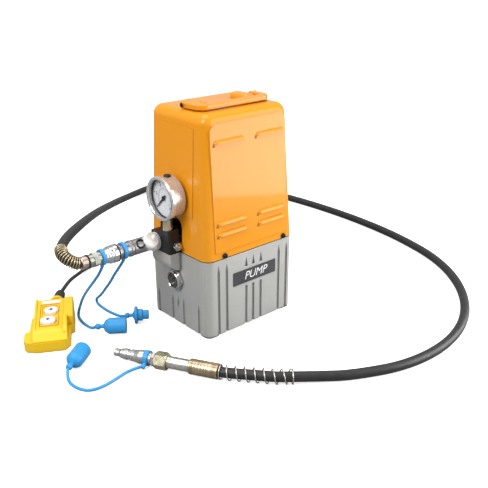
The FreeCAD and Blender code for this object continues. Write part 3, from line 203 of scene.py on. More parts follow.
def lib():
    # orange enamel over sheet steel
    m = Mat("cover_orange", (0.80, 0.300, 0.008), 0.30, Coat_Weight=0.50, Coat_Roughness=0.07, Specular_IOR_Level=0.12)
    m.roughen(m.noise(9.0, 4), 0.20, 0.33)
    m.tint(m.ramp(m.noise(3.5, 3), 0.35, 0.75, 0.0, 0.22), (0.78, 0.30, 0.008))
    m.tint(m.ramp(m.noise(1400, 2), 0.62, 0.70, 0.0, 0.12), (0.95, 0.55, 0.12))
    m.tint(m.maths("MULTIPLY", m.edge(0.0007), m.ramp(m.noise(160, 5), 0.50, 0.62)), (0.60, 0.22, 0.02))
    m.bump(m.noise(520, 2, 0.5), 0.00012, 0.35, soft=0.0005)
    m.bump(m.noise(6.0, 2, 0.4), 0.004, 0.10)
    # painted shade: darker brown-orange in the creases and inner corners of the cover
    m.paint_crevice_shade(0.003, (0.36, 0.12, 0.004), 0.55)
    M["orange"] = m.m
    # tank: silver paint over an aluminium casting
    m = Mat("tank_aluminium", (0.50, 0.50, 0.48), 0.42, 0.35)
    m.tint(m.ramp(m.noise(14, 5, 0.6, (1, 1, 0.35)), 0.3, 0.75, 0.0, 0.55), (0.40, 0.40, 0.385))
    m.tint(m.ramp(m.noise(700, 3), 0.55, 0.72, 0.0, 0.5), (0.66, 0.66, 0.65))
    m.tint(m.maths("MULTIPLY", m.edge(0.0010), m.ramp(m.noise(120, 4), 0.40, 0.60)), (0.62, 0.62, 0.61))
    m.roughen(m.noise(60, 5), 0.36, 0.55)
    m.bump(m.noise(850, 4, 0.62), 0.00028, 0.55, soft=0.0009)
    m.bump(m.noise(45, 3, 0.5), 0.0007, 0.18)
    # painted shade: near-black in the flutes and inner corners of the tank
    m.paint_crevice_shade(0.006, (0.06, 0.06, 0.06), 0.9, (0.45, 0.92))
    M["tank"] = m.m
    m = Mat("gasket_rubber", (0.012, 0.012, 0.012), 0.7)
    m.roughen(m.noise(400, 3), 0.6, 0.85)
    m.bump(m.noise(900, 2), 0.0001, 0.4)
    M["gasket"] = m.m
    m = Mat("steel_plate", (0.36, 0.365, 0.37), 0.38, 0.95)
    m.roughen(m.noise(300, 4, 0.6, (1, 12, 1)), 0.28, 0.5)
    m.bump(m.noise(900, 3, 0.6, (1, 14, 1)), 0.0001, 0.4, soft=0.0004)
    M["plate"] = m.m
    m = Mat("screw_black", (0.016, 0.016, 0.017), 0.34, 0.6)
    m.tint(m.maths("MULTIPLY", m.edge(0.0004), m.ramp(m.noise(900, 3), 0.45, 0.6)), (0.25, 0.25, 0.25))
    m.roughen(m.noise(700, 3), 0.28, 0.5)
    m.bump(m.noise(1600, 2), 0.00005, 0.4, soft=0.0003)
    M["screw_black"] = m.m
    m = Mat("label_grey", (0.062, 0.060, 0.066), 0.42, 0.0, Specular_IOR_Level=0.2)
    m.roughen(m.noise(500, 3), 0.3, 0.46)
    m.tint(m.ramp(m.noise(30, 3), 0.4, 0.8, 0.0, 0.3), (0.11, 0.105, 0.11))
    m.bump(m.noise(1300, 2), 0.00005, 0.3, soft=0.0004)
    M["label"] = m.m
    M["print_white"] = plain("print_white", (0.86, 0.86, 0.85), 0.5, 0.0, 700)
    # bright chromed and polished steel
    m = Mat("bright_steel", (0.66, 0.655, 0.65), 0.16, 1.0)
    m.roughen(m.noise(250, 4, 0.6, (6, 1, 1)), 0.09, 0.22)
    m.tint(m.ramp(m.noise(90, 4), 0.5, 0.8, 0.0, 0.35), (0.60, 0.59, 0.58))
    m.bump(m.noise(420, 3, 0.6, (9, 1, 1)), 0.00005, 0.35, soft=0.0003)
    M["bright"] = m.m
    m = Mat("gauge_bezel_steel", (0.78, 0.77, 0.76), 0.20, 0.85)
    m.roughen(m.noise(300, 4, 0.6, (10, 1, 1)), 0.11, 0.24)
    m.bump(m.noise(700, 3, 0.6, (12, 1, 1)), 0.00004, 0.3, soft=0.0004)
    M["bezel"] = m.m
    m = Mat("gauge_case_steel", (0.56, 0.53, 0.53), 0.30, 0.55)
    m.roughen(m.noise(260, 4, 0.6, (10, 1, 1)), 0.16, 0.34)
    m.bump(m.noise(700, 3, 0.6, (14, 1, 1)), 0.00005, 0.4, soft=0.0004)
    M["case"] = m.m
    m = Mat("dial_white", (0.86, 0.87, 0.90), 0.55)
    m.tint(m.ramp(m.noise(60, 3), 0.4, 0.8, 0.0, 0.2), (0.70, 0.72, 0.76))
    m.roughen(m.noise(300, 3), 0.45, 0.6)
    m.bump(m.noise(900, 2), 0.00003, 0.2)
    M["dial"] = m.m
    M["ink"] = plain("dial_ink", (0.02, 0.02, 0.022), 0.5, 0.0, 900)
    # a shaded copy of the cover orange, painted as the shade inside the louvre openings
    M["louvre_painted_shade"] = plain("louvre_painted_shade", (0.34, 0.115, 0.006), 0.7, 0.0, 700)
    M["ink_blue"] = plain("ink_blue", (0.02, 0.035, 0.16), 0.5, 0.0, 900)
    M["ink_red"] = plain("dial_ink_red", (0.55, 0.02, 0.015), 0.5, 0.0, 900)
    m = Mat("lens_clear", (0.10, 0.11, 0.12), 0.04, 0.0, Alpha=0.04, IOR=1.3, Coat_Weight=0.05)
    m.roughen(m.noise(120, 3), 0.02, 0.07)
    M["lens"] = m.m
    m = Mat("sight_amber", (0.055, 0.045, 0.035), 0.05, 0.0, Alpha=0.55, IOR=1.5, Coat_Weight=1.0)
    m.roughen(m.noise(150, 3), 0.03, 0.09)
    M["sight"] = m.m
    m = Mat("manifold_black", (0.017, 0.016, 0.016), 0.42, 0.35)
    m.roughen(m.noise(350, 4), 0.34, 0.58)
    m.tint(m.maths("MULTIPLY", m.edge(0.0006), m.ramp(m.noise(300, 4), 0.42, 0.6)), (0.16, 0.15, 0.14))
    m.bump(m.noise(900, 3), 0.00012, 0.45, soft=0.0006)
    M["manifold"] = m.m
    M["black_plastic"] = plain("black_plastic", (0.018, 0.018, 0.019), 0.5, 0.0, 900, 0.0001)
    m = Mat("brass", (0.66, 0.47, 0.19), 0.26, 1.0)
    m.tint(m.ramp(m.noise(80, 4), 0.4, 0.75, 0.0, 0.5), (0.50, 0.33, 0.12))
    m.roughen(m.noise(300, 4, 0.6, (1, 1, 8)), 0.18, 0.4)
    m.bump(m.noise(700, 3, 0.6, (1, 1, 9)), 0.00005, 0.4, soft=0.0003)
    M["brass"] = m.m
    m = Mat("ferrule_brass", (0.50, 0.41, 0.28), 0.30, 1.0)
    m.tint(m.ramp(m.noise(90, 4), 0.38, 0.75, 0.0, 0.6), (0.26, 0.20, 0.13))
    m.roughen(m.noise(200, 4), 0.22, 0.45)
    m.bump(m.noise(900, 3), 0.00008, 0.4, soft=0.0002)
    M["ferrule"] = m.m
    m = Mat("coupler_grey", (0.34, 0.34, 0.345), 0.33, 0.9)
    m.tint(m.ramp(m.noise(110, 4), 0.4, 0.75, 0.0, 0.5), (0.24, 0.235, 0.24))
    m.roughen(m.noise(260, 4, 0.6, (10, 1, 1)), 0.24, 0.45)
    m.bump(m.noise(600, 3, 0.6, (14, 1, 1)), 0.00006, 0.5, soft=0.0004)
    M["coupler"] = m.m
    m = Mat("zinc_steel", (0.60, 0.59, 0.56), 0.27, 0.95)
    m.tint(m.ramp(m.noise(130, 5), 0.42, 0.7, 0.0, 0.6), (0.44, 0.42, 0.38))
    m.roughen(m.noise(300, 4), 0.2, 0.42)
    m.bump(m.noise(800, 3), 0.00006, 0.4, soft=0.0003)
    M["zinc"] = m.m
    m = Mat("yellow_zinc", (0.72, 0.68, 0.48), 0.24, 0.95)
    m.tint(m.ramp(m.noise(70, 5, 0.6, distort=1.2), 0.38, 0.7, 0.0, 0.7), (0.50, 0.43, 0.26))
    m.tint(m.ramp(m.noise(180, 4), 0.58, 0.75, 0.0, 0.5), (0.70, 0.66, 0.50))
    m.roughen(m.noise(250, 4), 0.16, 0.38)
    m.bump(m.noise(700, 3), 0.00006, 0.4, soft=0.0004)
    M["yellow_zinc"] = m.m
    m = Mat("olive_zinc", (0.40, 0.41, 0.36), 0.30, 0.9)
    m.tint(m.ramp(m.noise(80, 5, 0.6, distort=1.2), 0.38, 0.7, 0.0, 0.7), (0.30, 0.30, 0.24))
    m.tint(m.ramp(m.noise(190, 4), 0.58, 0.75, 0.0, 0.5), (0.50, 0.50, 0.42))
    m.roughen(m.noise(250, 4), 0.22, 0.42)
    m.bump(m.noise(700, 3), 0.00006, 0.4, soft=0.0004)
    M["olive"] = m.m
    m = Mat("ferrule_copper", (0.52, 0.42, 0.36), 0.30, 0.95)
    m.tint(m.ramp(m.noise(90, 4), 0.38, 0.75, 0.0, 0.6), (0.40, 0.30, 0.24))
    m.roughen(m.noise(200, 4), 0.22, 0.42)
    m.bump(m.noise(900, 3), 0.00008, 0.4, soft=0.0002)
    M["ferrule_pump"] = m.m
    m = Mat("socket_brass", (0.68, 0.58, 0.40), 0.26, 0.9)
    m.tint(m.ramp(m.noise(80, 4), 0.4, 0.75, 0.0, 0.5), (0.52, 0.42, 0.25))
    m.roughen(m.noise(300, 4, 0.6, (1, 1, 8)), 0.18, 0.4)
    m.bump(m.noise(700, 3, 0.6, (1, 1, 9)), 0.00005, 0.4, soft=0.0003)
    M["socket"] = m.m
    m = Mat("spring_steel", (0.58, 0.57, 0.54), 0.24, 1.0)
    m.tint(m.ramp(m.noise(200, 4), 0.45, 0.75, 0.0, 0.6), (0.36, 0.35, 0.32))
    m.roughen(m.noise(400, 3), 0.18, 0.38)
    m.bump(m.noise(1500, 2), 0.00003, 0.3)
    M["spring"] = m.m
    m = Mat("guard_brass", (0.50, 0.42, 0.27), 0.28, 1.0)
    m.tint(m.ramp(m.noise(160, 4), 0.4, 0.75, 0.0, 0.6), (0.33, 0.27, 0.16))
    m.roughen(m.noise(500, 3), 0.2, 0.42)
    m.bump(m.noise(1500, 2), 0.00003, 0.3)
    M["guard"] = m.m
    # moulded blue rubber
    m = Mat("blue_rubber", (0.028, 0.32, 0.70), 0.40, 0.0, Coat_Weight=0.10, Coat_Roughness=0.3)
    m.tint(m.ramp(m.noise(45, 4), 0.35, 0.75, 0.0, 0.35), (0.018, 0.265, 0.62))
    m.tint(m.ramp(m.noise(900, 2), 0.6, 0.72, 0.0, 0.15), (0.10, 0.40, 0.72))
    m.roughen(m.noise(220, 4), 0.30, 0.50)
    m.bump(m.noise(1100, 3), 0.00007, 0.4, soft=0.0004)
    # painted shade: darker blue in the grooves and inner corners
    m.paint_crevice_shade(0.003, (0.008, 0.12, 0.36), 0.6)
    M["blue"] = m.m
    m = Mat("collar_silver", (0.93, 0.93, 0.93), 0.22, 0.35, Coat_Weight=0.5)
    m.roughen(m.noise(200, 4), 0.16, 0.30)
    m.tint(m.ramp(m.noise(120, 4), 0.5, 0.8, 0.0, 0.25), (0.80, 0.80, 0.80))
    m.bump(m.noise(900, 3), 0.00004, 0.3, soft=0.0005)
    M["collar"] = m.m
    # hose cover with the faint wrap of the curing cloth
    m = Mat("hose_rubber", (0.013, 0.013, 0.014), 0.38, 0.0)
    m.tint(m.ramp(m.noise(60, 4), 0.35, 0.75, 0.0, 0.6), (0.028, 0.027, 0.027))
    m.roughen(m.noise(380, 4), 0.36, 0.56)
    m.bump(m.noise(1700, 3, 0.6), 0.00012, 0.45)
    m.bump(m.voronoi(900), 0.00010, 0.25)
    M["hose"] = m.m
    m = Mat("cable_black", (0.018, 0.018, 0.019), 0.45)
    m.tint(m.ramp(m.noise(80, 4), 0.35, 0.75, 0.0, 0.4), (0.035, 0.034, 0.034))
    m.roughen(m.noise(500, 3), 0.38, 0.58)
    m.bump(m.noise(1900, 2), 0.00005, 0.4)
    M["cable"] = m.m
    # moulded yellow plastic
    m = Mat("pendant_yellow", (0.92, 0.59, 0.006), 0.36, 0.0, Coat_Weight=0.12, Coat_Roughness=0.25)
    m.tint(m.ramp(m.noise(28, 4), 0.35, 0.75, 0.0, 0.30), (0.86, 0.50, 0.004))
    m.roughen(m.noise(300, 4), 0.30, 0.46)
    m.bump(m.noise(1500, 3), 0.00008, 0.45, soft=0.0008)
    # painted shade: darker orange in the recesses and inner corners of the pendant
    m.paint_crevice_shade(0.006, (0.62, 0.26, 0.004), 0.75)
    M["yellow"] = m.m
    M["button"] = plain("button_white", (0.80, 0.80, 0.80), 0.4, 0.0, 800, 0.00005)
    m = Mat("electrical_steel", (0.30, 0.31, 0.32), 0.4, 0.9)
    m.bump(m.wave(320, "Z"), 0.0002, 0.5)
    m.roughen(m.noise(300, 3), 0.32, 0.5)
    M["lamination"] = m.m
    m = Mat("copper", (0.62, 0.24, 0.10), 0.3, 1.0)
    m.bump(m.wave(260, "Z", distort=3.0), 0.0004, 0.6)
    m.roughen(m.noise(300, 3), 0.22, 0.42)
    M["copper"] = m.m
    m = Mat("cast_frame", (0.50, 0.50, 0.50), 0.45, 0.8)
    m.roughen(m.noise(120, 4), 0.38, 0.6)
    m.bump(m.noise(700, 4), 0.0002, 0.5, soft=0.0006)
    M["cast"] = m.m
    # floor
    m = Mat("floor", (0.90, 0.90, 0.90), 0.6)
    m.tint(m.ramp(m.noise(3, 3), 0.3, 0.8, 0.0, 0.15), (0.88, 0.88, 0.885))
    m.bump(m.noise(90, 3), 0.0002, 0.1)
    m.b.inputs["Emission Color"].default_value = (1, 1, 1, 1)
    m.b.inputs["Emission Strength"].default_value = 0.62
    M["floor"] = m.m


def plain(name, color, rough, metal, scale, dist=0.00004):
    m = Mat(name, color, rough, metal)
    m.roughen(m.noise(scale * 0.4, 3), rough * 0.85, rough * 1.15)
    m.tint(m.ramp(m.noise(scale * 0.1, 3), 0.4, 0.8, 0.0, 0.25), tuple(c * 0.8 for c in color))
    m.bump(m.noise(scale, 2), dist, 0.35)
    return m.m


lib()

LOOK = {
    "oil_tank": "tank", "tank_gasket": "gasket", "pump_plate": "plate", "socket_screws": "screw_black",
    "motor_cover": "orange", "cover_screws": "screw_black", "label_plate": "label", "sight_glass_body": "bright",
    "sight_glass_lens": "sight", "tank_plugs": "zinc", "manifold_block": "manifold", "relief_valve_screw": "zinc",
    "gauge_case": "case", "gauge_bezel": "bezel", "gauge_dial": "dial", "gauge_lens": "lens", "gauge_needle": "ink",
    "gauge_socket": "socket", "outlet_collar": "collar", "coupler_body": "coupler", "coupler_sleeve": "bright",
    "coupler_spring": "spring", "tether_rings": "blue", "hose_nipple_pump_end": "olive",
    "hose_ferrule_pump_end": "ferrule_pump", "hose": "hose", "hose_guard_pump_end": "guard",
    "hose_ferrule_tool_end": "ferrule", "hose_shank_tool_end": "zinc", "hose_nut_tool_end": "yellow_zinc",
    "hose_nipple_tool_end": "zinc", "hose_spring_tool_end": "spring", "dust_plug_tether": "blue",
    "dust_cap_tether": "blue", "nipple_cap_tether": "blue", "dust_cap_hose_end": "blue", "nipple_cap": "blue",
    "dust_plug": "blue", "handle": "orange", "handle_mounts": "orange", "motor_stator": "lamination",
    "motor_windings": "copper", "motor_frame": "cast", "motor_bearings": "bright", "motor_shaft": "bright",
    "rotor": "lamination", "cooling_fan": "black_plastic", "pump_body": "cast", "pump_pistons": "bright",
    "suction_strainer": "plate", "solenoid_valve": "black_plastic", "control_box": "black_plastic",
    "cable_glands": "black_plastic", "pendant_cable": "cable", "pendant_cable_coil": "cable",
    "pendant_cover": "yellow", "pendant_base": "yellow", "pendant_boot": "cable",
    "pendant_button_up": "button", "pendant_button_down": "button",
}
for name, ob in N.items():
    mat = M[LOOK[name]]
    if not ob.material_slots:
        ob.data.materials.append(mat)
    for s in ob.material_slots:
        s.material = mat


# ------------------------------------------------------------------ helpers
def add(name, mesh, look, body="unit"):
    ob = bpy.data.objects.new(name, mesh)
    bpy.context.scene.collection.objects.link(ob)
    mesh.materials.append(M[look])
    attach(ob, body)
    return ob


def smooth(mesh, angle=40):
    for p in mesh.polygons:
        p.use_smooth = True
    mesh.set_sharp_from_angle(angle=math.radians(angle))
    return mesh


def nurbs(name, pts, radius=0.0, res=10):
    """A smooth open curve with the given points, in millimetres, as its control points."""
    cu = bpy.data.curves.new(name, "CURVE")
    cu.dimensions = "3D"
    sp = cu.splines.new("NURBS")
    sp.points.add(len(pts) - 1)
    for p, q in zip(sp.points, pts):
        p.co = (q[0] * MM, q[1] * MM, q[2] * MM, 1.0)
    sp.order_u = 3
    sp.use_endpoint_u = True
    sp.resolution_u = res
    cu.resolution_u = res
    if radius:
        cu.bevel_depth = radius
        cu.bevel_resolution = 7
        cu.use_fill_caps = True
    ob = bpy.data.objects.new(name, cu)
    bpy.context.scene.collection.objects.link(ob)
    return ob


def line_of(pts, res=24):
    """The points of the smooth curve itself, read from a bevel-free copy."""
    ob = nurbs("tmp_line", pts, 0.0, res)
    me = bpy.data.meshes.new_from_object(ob)
    out = [v.co.copy() for v in me.vertices]
    bpy.data.objects.remove(ob, do_unlink=True)
    bpy.data.meshes.remove(me)
    return out


class Line:
    """Positions and steady frames along a row of points, by distance."""

    def __init__(self, pts):
        self.p = pts
        self.d = [0.0]
        for a, b in zip(pts, pts[1:]):
            self.d.append(self.d[-1] + (b - a).length)
        self.t = [(pts[min(i + 1, len(pts) - 1)] - pts[max(i - 1, 0)]).normalized() for i in range(len(pts))]
        up = Vector((0, 0, 1))
        n = (up - self.t[0] * up.dot(self.t[0])).normalized()
        self.n = [n]
        for a, b in zip(self.t, self.t[1:]):
            n = a.rotation_difference(b) @ n
            n = (n - b * n.dot(b)).normalized()
            self.n.append(n)
        self.length = self.d[-1]

    def at(self, s):
        s = max(0.0, min(self.length, s))
        lo, hi = 0, len(self.d) - 1
        while hi - lo > 1:
            m = (lo + hi) // 2
            if self.d[m] <= s:
                lo = m
            else:
                hi = m
        k = (s - self.d[lo]) / max(1e-12, self.d[hi] - self.d[lo])
        p = self.p[lo].lerp(self.p[hi], k)
        t = self.t[lo].lerp(self.t[hi], k).normalized()
        n = self.n[lo].lerp(self.n[hi], k)
        n = (n - t * n.dot(t)).normalized()
        return p, t, n, t.cross(n)


def sweep(name, pts, radius, sides=12, caps=True, radii=None):
    """A round rod along a row of points."""
    ln = Line(pts)
    bm = bmesh.new()
    rings = []
    for i, p in enumerate(pts):
        n, t = ln.n[i], ln.t[i]
        b = t.cross(n)
        r = radii[i] if radii else radius
        rings.append([bm.verts.new(p + (n * math.cos(a) + b * math.sin(a)) * r)
                      for a in (2 * math.pi * k / sides for k in range(sides))])
    for u, v in zip(rings, rings[1:]):
        for k in range(sides):
            bm.faces.new((u[k], u[(k + 1) % sides], v[(k + 1) % sides], v[k]))
    if caps:
        bm.faces.new(list(reversed(rings[0])))
        bm.faces.new(rings[-1])
    bmesh.ops.recalc_face_normals(bm, faces=bm.faces)
    me = bpy.data.meshes.new(name)
    bm.to_mesh(me)
    bm.free()
    return smooth(me, 60)


def lathe(name, prof, origin, axis, seg=64):
    """A turned mesh: (radius, station) in millimetres about an axis from an origin."""
    axis = Vector(axis).normalized()
    q = Vector((0, 0, 1)).rotation_difference(axis)
    o = Vector(origin)
    bm = bmesh.new()
    rings = []
    for r, s in prof:
        if r <= 1e-6:
            rings.append([bm.verts.new(o * MM + q @ Vector((0, 0, s * MM)))])
        else:
            rings.append([bm.verts.new(o * MM + q @ Vector((r * MM * math.cos(a), r * MM * math.sin(a), s * MM)))
                          for a in (2 * math.pi * k / seg for k in range(seg))])
    for u, v in zip(rings, rings[1:]):
        for k in range(seg):
            k2 = (k + 1) % seg
            if len(u) == 1 and len(v) == 1:
                continue
            if len(u) == 1:
                bm.faces.new((u[0], v[k2], v[k]))
            elif len(v) == 1:
                bm.faces.new((u[k], u[k2], v[0]))
            else:
                bm.faces.new((u[k], u[k2], v[k2], v[k]))
    bmesh.ops.recalc_face_normals(bm, faces=bm.faces)
    me = bpy.data.meshes.new(name)
    bm.to_mesh(me)
    bm.free()
    return smooth(me, 35)


def prism(bm, outline, z0, z1, place):
    """A flat shape of some thickness, put in place by a matrix."""
    lo = [bm.verts.new(place @ Vector((x * MM, y * MM, z0 * MM))) for x, y in outline]
    hi = [bm.verts.new(place @ Vector((x * MM, y * MM, z1 * MM))) for x, y in outline]
    n = len(outline)
    for k in range(n):
        bm.faces.new((lo[k], lo[(k + 1) % n], hi[(k + 1) % n], hi[k]))
    bm.faces.new(hi)
    bm.faces.new(list(reversed(lo)))


def mesh_of(bm, name):
    bmesh.ops.recalc_face_normals(bm, faces=bm.faces)
    me = bpy.data.meshes.new(name)
    bm.to_mesh(me)
    bm.free()
    return me


def text_into(bm, words, size, place, thick=0.06, shear=0.0):
    """Raised lettering, centred on the matrix."""
    cu = bpy.data.curves.new("t", "FONT")
    cu.body = words
    cu.size = size * MM
    cu.align_x = "CENTER"
    cu.align_y = "CENTER"
    cu.shear = shear
    cu.extrude = thick * MM * 0.5
    ob = bpy.data.objects.new("t", cu)
    bpy.context.scene.collection.objects.link(ob)
    me = bpy.data.meshes.new_from_object(ob)
    bpy.data.objects.remove(ob, do_unlink=True)
    me.transform(place)
    bm.from_mesh(me)
    bpy.data.meshes.remove(me)


# ------------------------------------------------------------------ camera
cam_data = bpy.data.cameras.new("camera")
cam = bpy.data.objects.new("camera", cam_data)
bpy.context.scene.collection.objects.link(cam)
cam.location = (-0.6526, -0.7878, 0.5428)
cam.rotation_euler = (math.radians(90 - 22.77), 0.0, math.radians(-41.63))
cam_data.sensor_width = 36.0
cam_data.lens = 50.39
cam_data.clip_start = 0.02
bpy.context.scene.camera = cam

# ------------------------------------------------------------------ cords
HOSE = [(-241, 25, 142.5), (-250, 27, 146), (-256.5, 33.5, 152), (-258.5, 43.5, 157), (-252, 56.5, 160), (-237, 77, 159),
        (-207, 115, 151.8), (-165, 167, 138.5), (-101, 252, 112.5), (-21, 359, 77), (76, 470, 41), (176, 556, 15.5), (280, 605, 7.5),
        (385, 562, 7.5), (449, 440, 7.5), (470.3, 300.5, 7.5), (477.3, 189, 7.5), (473.7, 83, 7.5), (458.5, -23, 7.5),
        (423.6, -136.5, 7.5), (357.3, -229.8, 7.5), (269, -297.2, 7.5), (171, -328.4, 7.5), (74.2, -323, 7.5),
        (-6, -286, 7.5), (-40, -261, 8.4), (-70, -241, 11), (-93, -222.5, 11.4), (-115, -195.4, 11.4), (-136.3, -171.4, 11.5),
        (-142.2, -161, 11.5)]
TETHER_1 = [(-206.2, 25, 127.5), (-206.2, 35, 113), (-207.8, 52, 94), (-208.2, 74, 72), (-206.5, 96, 49), (-203, 114, 27),
            (-201, 125, 12), (-203, 124, 3.2), (-206, 110, 2.5), (-207.5, 94, 2.5), (-206, 78, 2.8), (-205.6, 68, 7.5),
            (-206.8, 62, 12.5)]
TETHER_2 = [(-170.2, 25, 126.7), (-172, 35, 113), (-173, 50, 96), (-172, 66, 77), (-170, 86, 58), (-166, 108, 38),
            (-161, 130, 22), (-156.5, 146, 11), (-155.5, 145, 3), (-156.5, 131, 2.5), (-156.5, 112, 2.5), (-153.5, 92, 2.5),
            (-151.5, 74, 5), (-153.6, 58.6, 13.6)]
TETHER_3 = [(-207.8, -72.6, 6.2), (-226.4, -64, 3.4), (-252.5, -69.9, 2.5), (-275.5, -73.8, 2.5), (-295, -70.2, 2.5),
            (-304.8, -51.5, 2.5), (-306, -29, 4.5), (-296.2, -16.1, 12.3)]
CABLE_TOP = [(40, 98.32, 168), (40, 114.02, 167), (40.5, 128.02, 157), (41, 136.02, 138), (39, 139.02, 108), (35, 142.02, 76),
             (29, 148.02, 48), (25, 162.02, 34), (31, 180.02, 29.6)]
CABLE_END = [(88, 201.5, 3.3), (107, 213, 3.3), (114, 240, 3.3), (104, 272, 3.3), (80, 294, 3.3), (45, 303, 3.3), (0, 304.5, 3.3),
             (-43, 299, 3.3), (-81, 286.5, 3.3), (-104, 277.5, 5), (-131.4, 255.4, 10), (-159.6, 229.7, 17), (-184.8, 200.4, 22.4),
             (-197.6, 186, 24), (-203, 179.7, 24), (-217.7, 162.5, 24)]


def put_away():
    """The turns of the put-away length: four layers of three, laid from the top down and clockwise."""
    inner, mid, outer = 29.6, 36.2, 42.8
    slots = [(outer, 22.8), (mid, 22.8), (inner, 22.8), (inner, 16.3), (mid, 16.3), (outer, 16.3), (outer, 9.8), (mid, 9.8),
             (inner, 9.8), (inner, 3.3), (mid, 3.3), (outer, 3.3)]
    per = 16
    pts = [(70 + 40.5 * math.cos(math.radians(a)), 158 + 40.5 * math.sin(math.radians(a)), 29.2) for a in (124, 107)]
    r0, z0 = 41.0, 29.2
    for r1, z1 in slots:
        for k in range(per):
            a = math.radians(90 - 360 * k / per)
            e = min(1.0, k / 3)
            r, z = r0 + (r1 - r0) * e, z0 + (z1 - z0) * e
            pts.append((70 + r * math.cos(a), 158 + r * math.sin(a), z))
        r0, z0 = r1, z1
    pts.append((70, 158 + outer, 3.3))
    return pts


CABLE = CABLE_TOP + put_away() + CABLE_END


def length_of(pts):
    return Line(line_of(pts, 12)).length


def put(ob, look):
    ob.data.materials.append(M[look])
    return ob


def as_cord(name, pts, radius, look, node, res=14):
    ob = put(nurbs(name, pts, radius, res), look)
    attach(ob, "unit")
    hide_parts(*node)
    round(length_of(pts), 3)
    return ob


# ------------------------------------------------------------------ coil springs on the hose
hose_line = Line(line_of(HOSE, 30))


def helix(line, s0, s1, turns, r, lift=0.0, per=22, close=0.0):
    """Points of a coil round a line between two distances; close winds its ends shut."""
    n = int(turns * per)
    pts = []
    for i in range(n + 1):
        k = i / n
        if close:
            k2 = k
            e = close / turns
            if k < e:
                k2 = k * 0.22
            elif k > 1 - e:
                k2 = 1 - (1 - k) * 0.22
            else:
                k2 = e * 0.22 + (k - e) / (1 - 2 * e) * (1 - e * 0.44)
            s = s0 + (s1 - s0) * k2
        else:
            s = s0 + (s1 - s0) * k
        p, t, nn, b = line.at(s)
        a = 2 * math.pi * i / per
        pts.append(p + (nn * math.cos(a) + b * math.sin(a)) * r + Vector((0, 0, lift)))
    return pts


total = hose_line.length
g = sweep("hose_guard_coil", helix(hose_line, 0.001, 0.042, 13, 0.0084, per=26), 0.00115, 10)
guard = add("hose_guard_coil", g, "guard")
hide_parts("hose_guard_pump_end")
sp = sweep("hose_bend_spring", helix(hose_line, total - 0.104, total - 0.0008, 9.4, 0.0102, 0.0, per=30, close=0.9), 0.00095, 10)
spring = add("hose_bend_spring", sp, "spring")
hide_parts("hose_spring_tool_end")

hose = as_cord("hose_tube", HOSE, 0.0075, "hose", ["hose"])
as_cord("tether_hose_cap", TETHER_1, 0.00225, "blue", ["dust_cap_tether"])
as_cord("tether_dust_plug", TETHER_2, 0.00225, "blue", ["dust_plug_tether"])
as_cord("tether_nipple_cap", TETHER_3, 0.00225, "blue", ["nipple_cap_tether"])
as_cord("control_cable", CABLE, 0.00325, "cable", ["pendant_cable", "pendant_cable_coil"],
        8)

# ------------------------------------------------------------------ gauge face
GC = (-90.0, 1.5, 216.5)


def on_dial(s_out, u=0.0, v=0.0, turn=0.0):
    """A place on the gauge's axis: x to the reader's right, y up, z out of the dial."""
    base = Matrix(((0, 0, -1, (GC[0] - s_out) * MM), (-1, 0, 0, GC[1] * MM), (0, 1, 0, GC[2] * MM), (0, 0, 0, 1)))
    return base @ Matrix.Translation((u * MM, v * MM, 0)) @ Matrix.Rotation(turn, 4, "Z")


bm = bmesh.new()
for k in range(51):
    a = math.radians(225 - 270 * k / 50)
    big, half = k % 10 == 0, k % 5 == 0
    r0, w = (23.0, 1.15) if big else ((24.2, 0.8) if half else (25.4, 0.42))
    prism(bm, [(r0, -w / 2), (27.6, -w / 2), (27.6, w / 2), (r0, w / 2)], 0.0, 0.12, on_dial(17.82) @ Matrix.Rotation(a, 4, "Z"))
for k in range(72):
    a0, a1 = (math.radians(225 - 270 * j / 72) for j in (k, k + 1))
    for r0, r1 in ((27.6, 27.95), (14.6, 14.85)):
        prism(bm, [(r0 * math.cos(a0), r0 * math.sin(a0)), (r1 * math.cos(a0), r1 * math.sin(a0)),
                   (r1 * math.cos(a1), r1 * math.sin(a1)), (r0 * math.cos(a1), r0 * math.sin(a1))], 0.0, 0.12, on_dial(17.82))
for k in range(6):
    a = math.radians(225 - 270 * k / 5)
    text_into(bm, str(2 * k), 7.2, on_dial(17.88, 19.6 * math.cos(a), 19.6 * math.sin(a)), 0.12)
add("gauge_scale", mesh_of(bm, "gauge_scale"), "ink")
bm = bmesh.new()
for k in range(60, 72):
    a0, a1 = (math.radians(225 - 270 * j / 72) for j in (k, k + 1))
    prism(bm, [(r * math.cos(a), r * math.sin(a)) for r, a in ((28.1, a0), (29.0, a0), (29.0, a1), (28.1, a1))], 0.0, 0.12, on_dial(17.82))
for k in range(31):
    a = math.radians(225 - 270 * k / 30)
    prism(bm, [(12.6, -0.12), (14.4, -0.12), (14.4, 0.12), (12.6, 0.12)], 0.0, 0.12, on_dial(17.82) @ Matrix.Rotation(a, 4, "Z"))
add("gauge_scale_red", mesh_of(bm, "gauge_scale_red"), "ink_red")
bm = bmesh.new()
prism(bm, [(-7.5, -1.1), (0, -1.6), (23.5, -0.35), (23.5, 0.35), (0, 1.6), (-7.5, 1.1)], 0.0, 0.25,
      on_dial(19.75, 0, 0, math.radians(225)))
add("needle_blade", mesh_of(bm, "needle_blade"), "ink", "gauge_pointer")
add("gauge_liner", lathe("gauge_liner", [(28.7, 17.9), (30.5, 17.9), (30.5, 19.6), (29.9, 19.6), (28.7, 18.5), (28.7, 17.9)],
                         GC, (-1, 0, 0), 72), "black_plastic")
add("gauge_fill_plug", lathe("gauge_fill_plug", [(0, 30.9), (5.4, 30.9), (5.4, 33.4), (4.8, 34.4), (3.2, 34.9), (1.6, 34.7), (1.2, 34.0), (0, 34.0)],
                             (-101.0, 1.5, 216.5), (0, 0, 1), 40), "black_plastic")
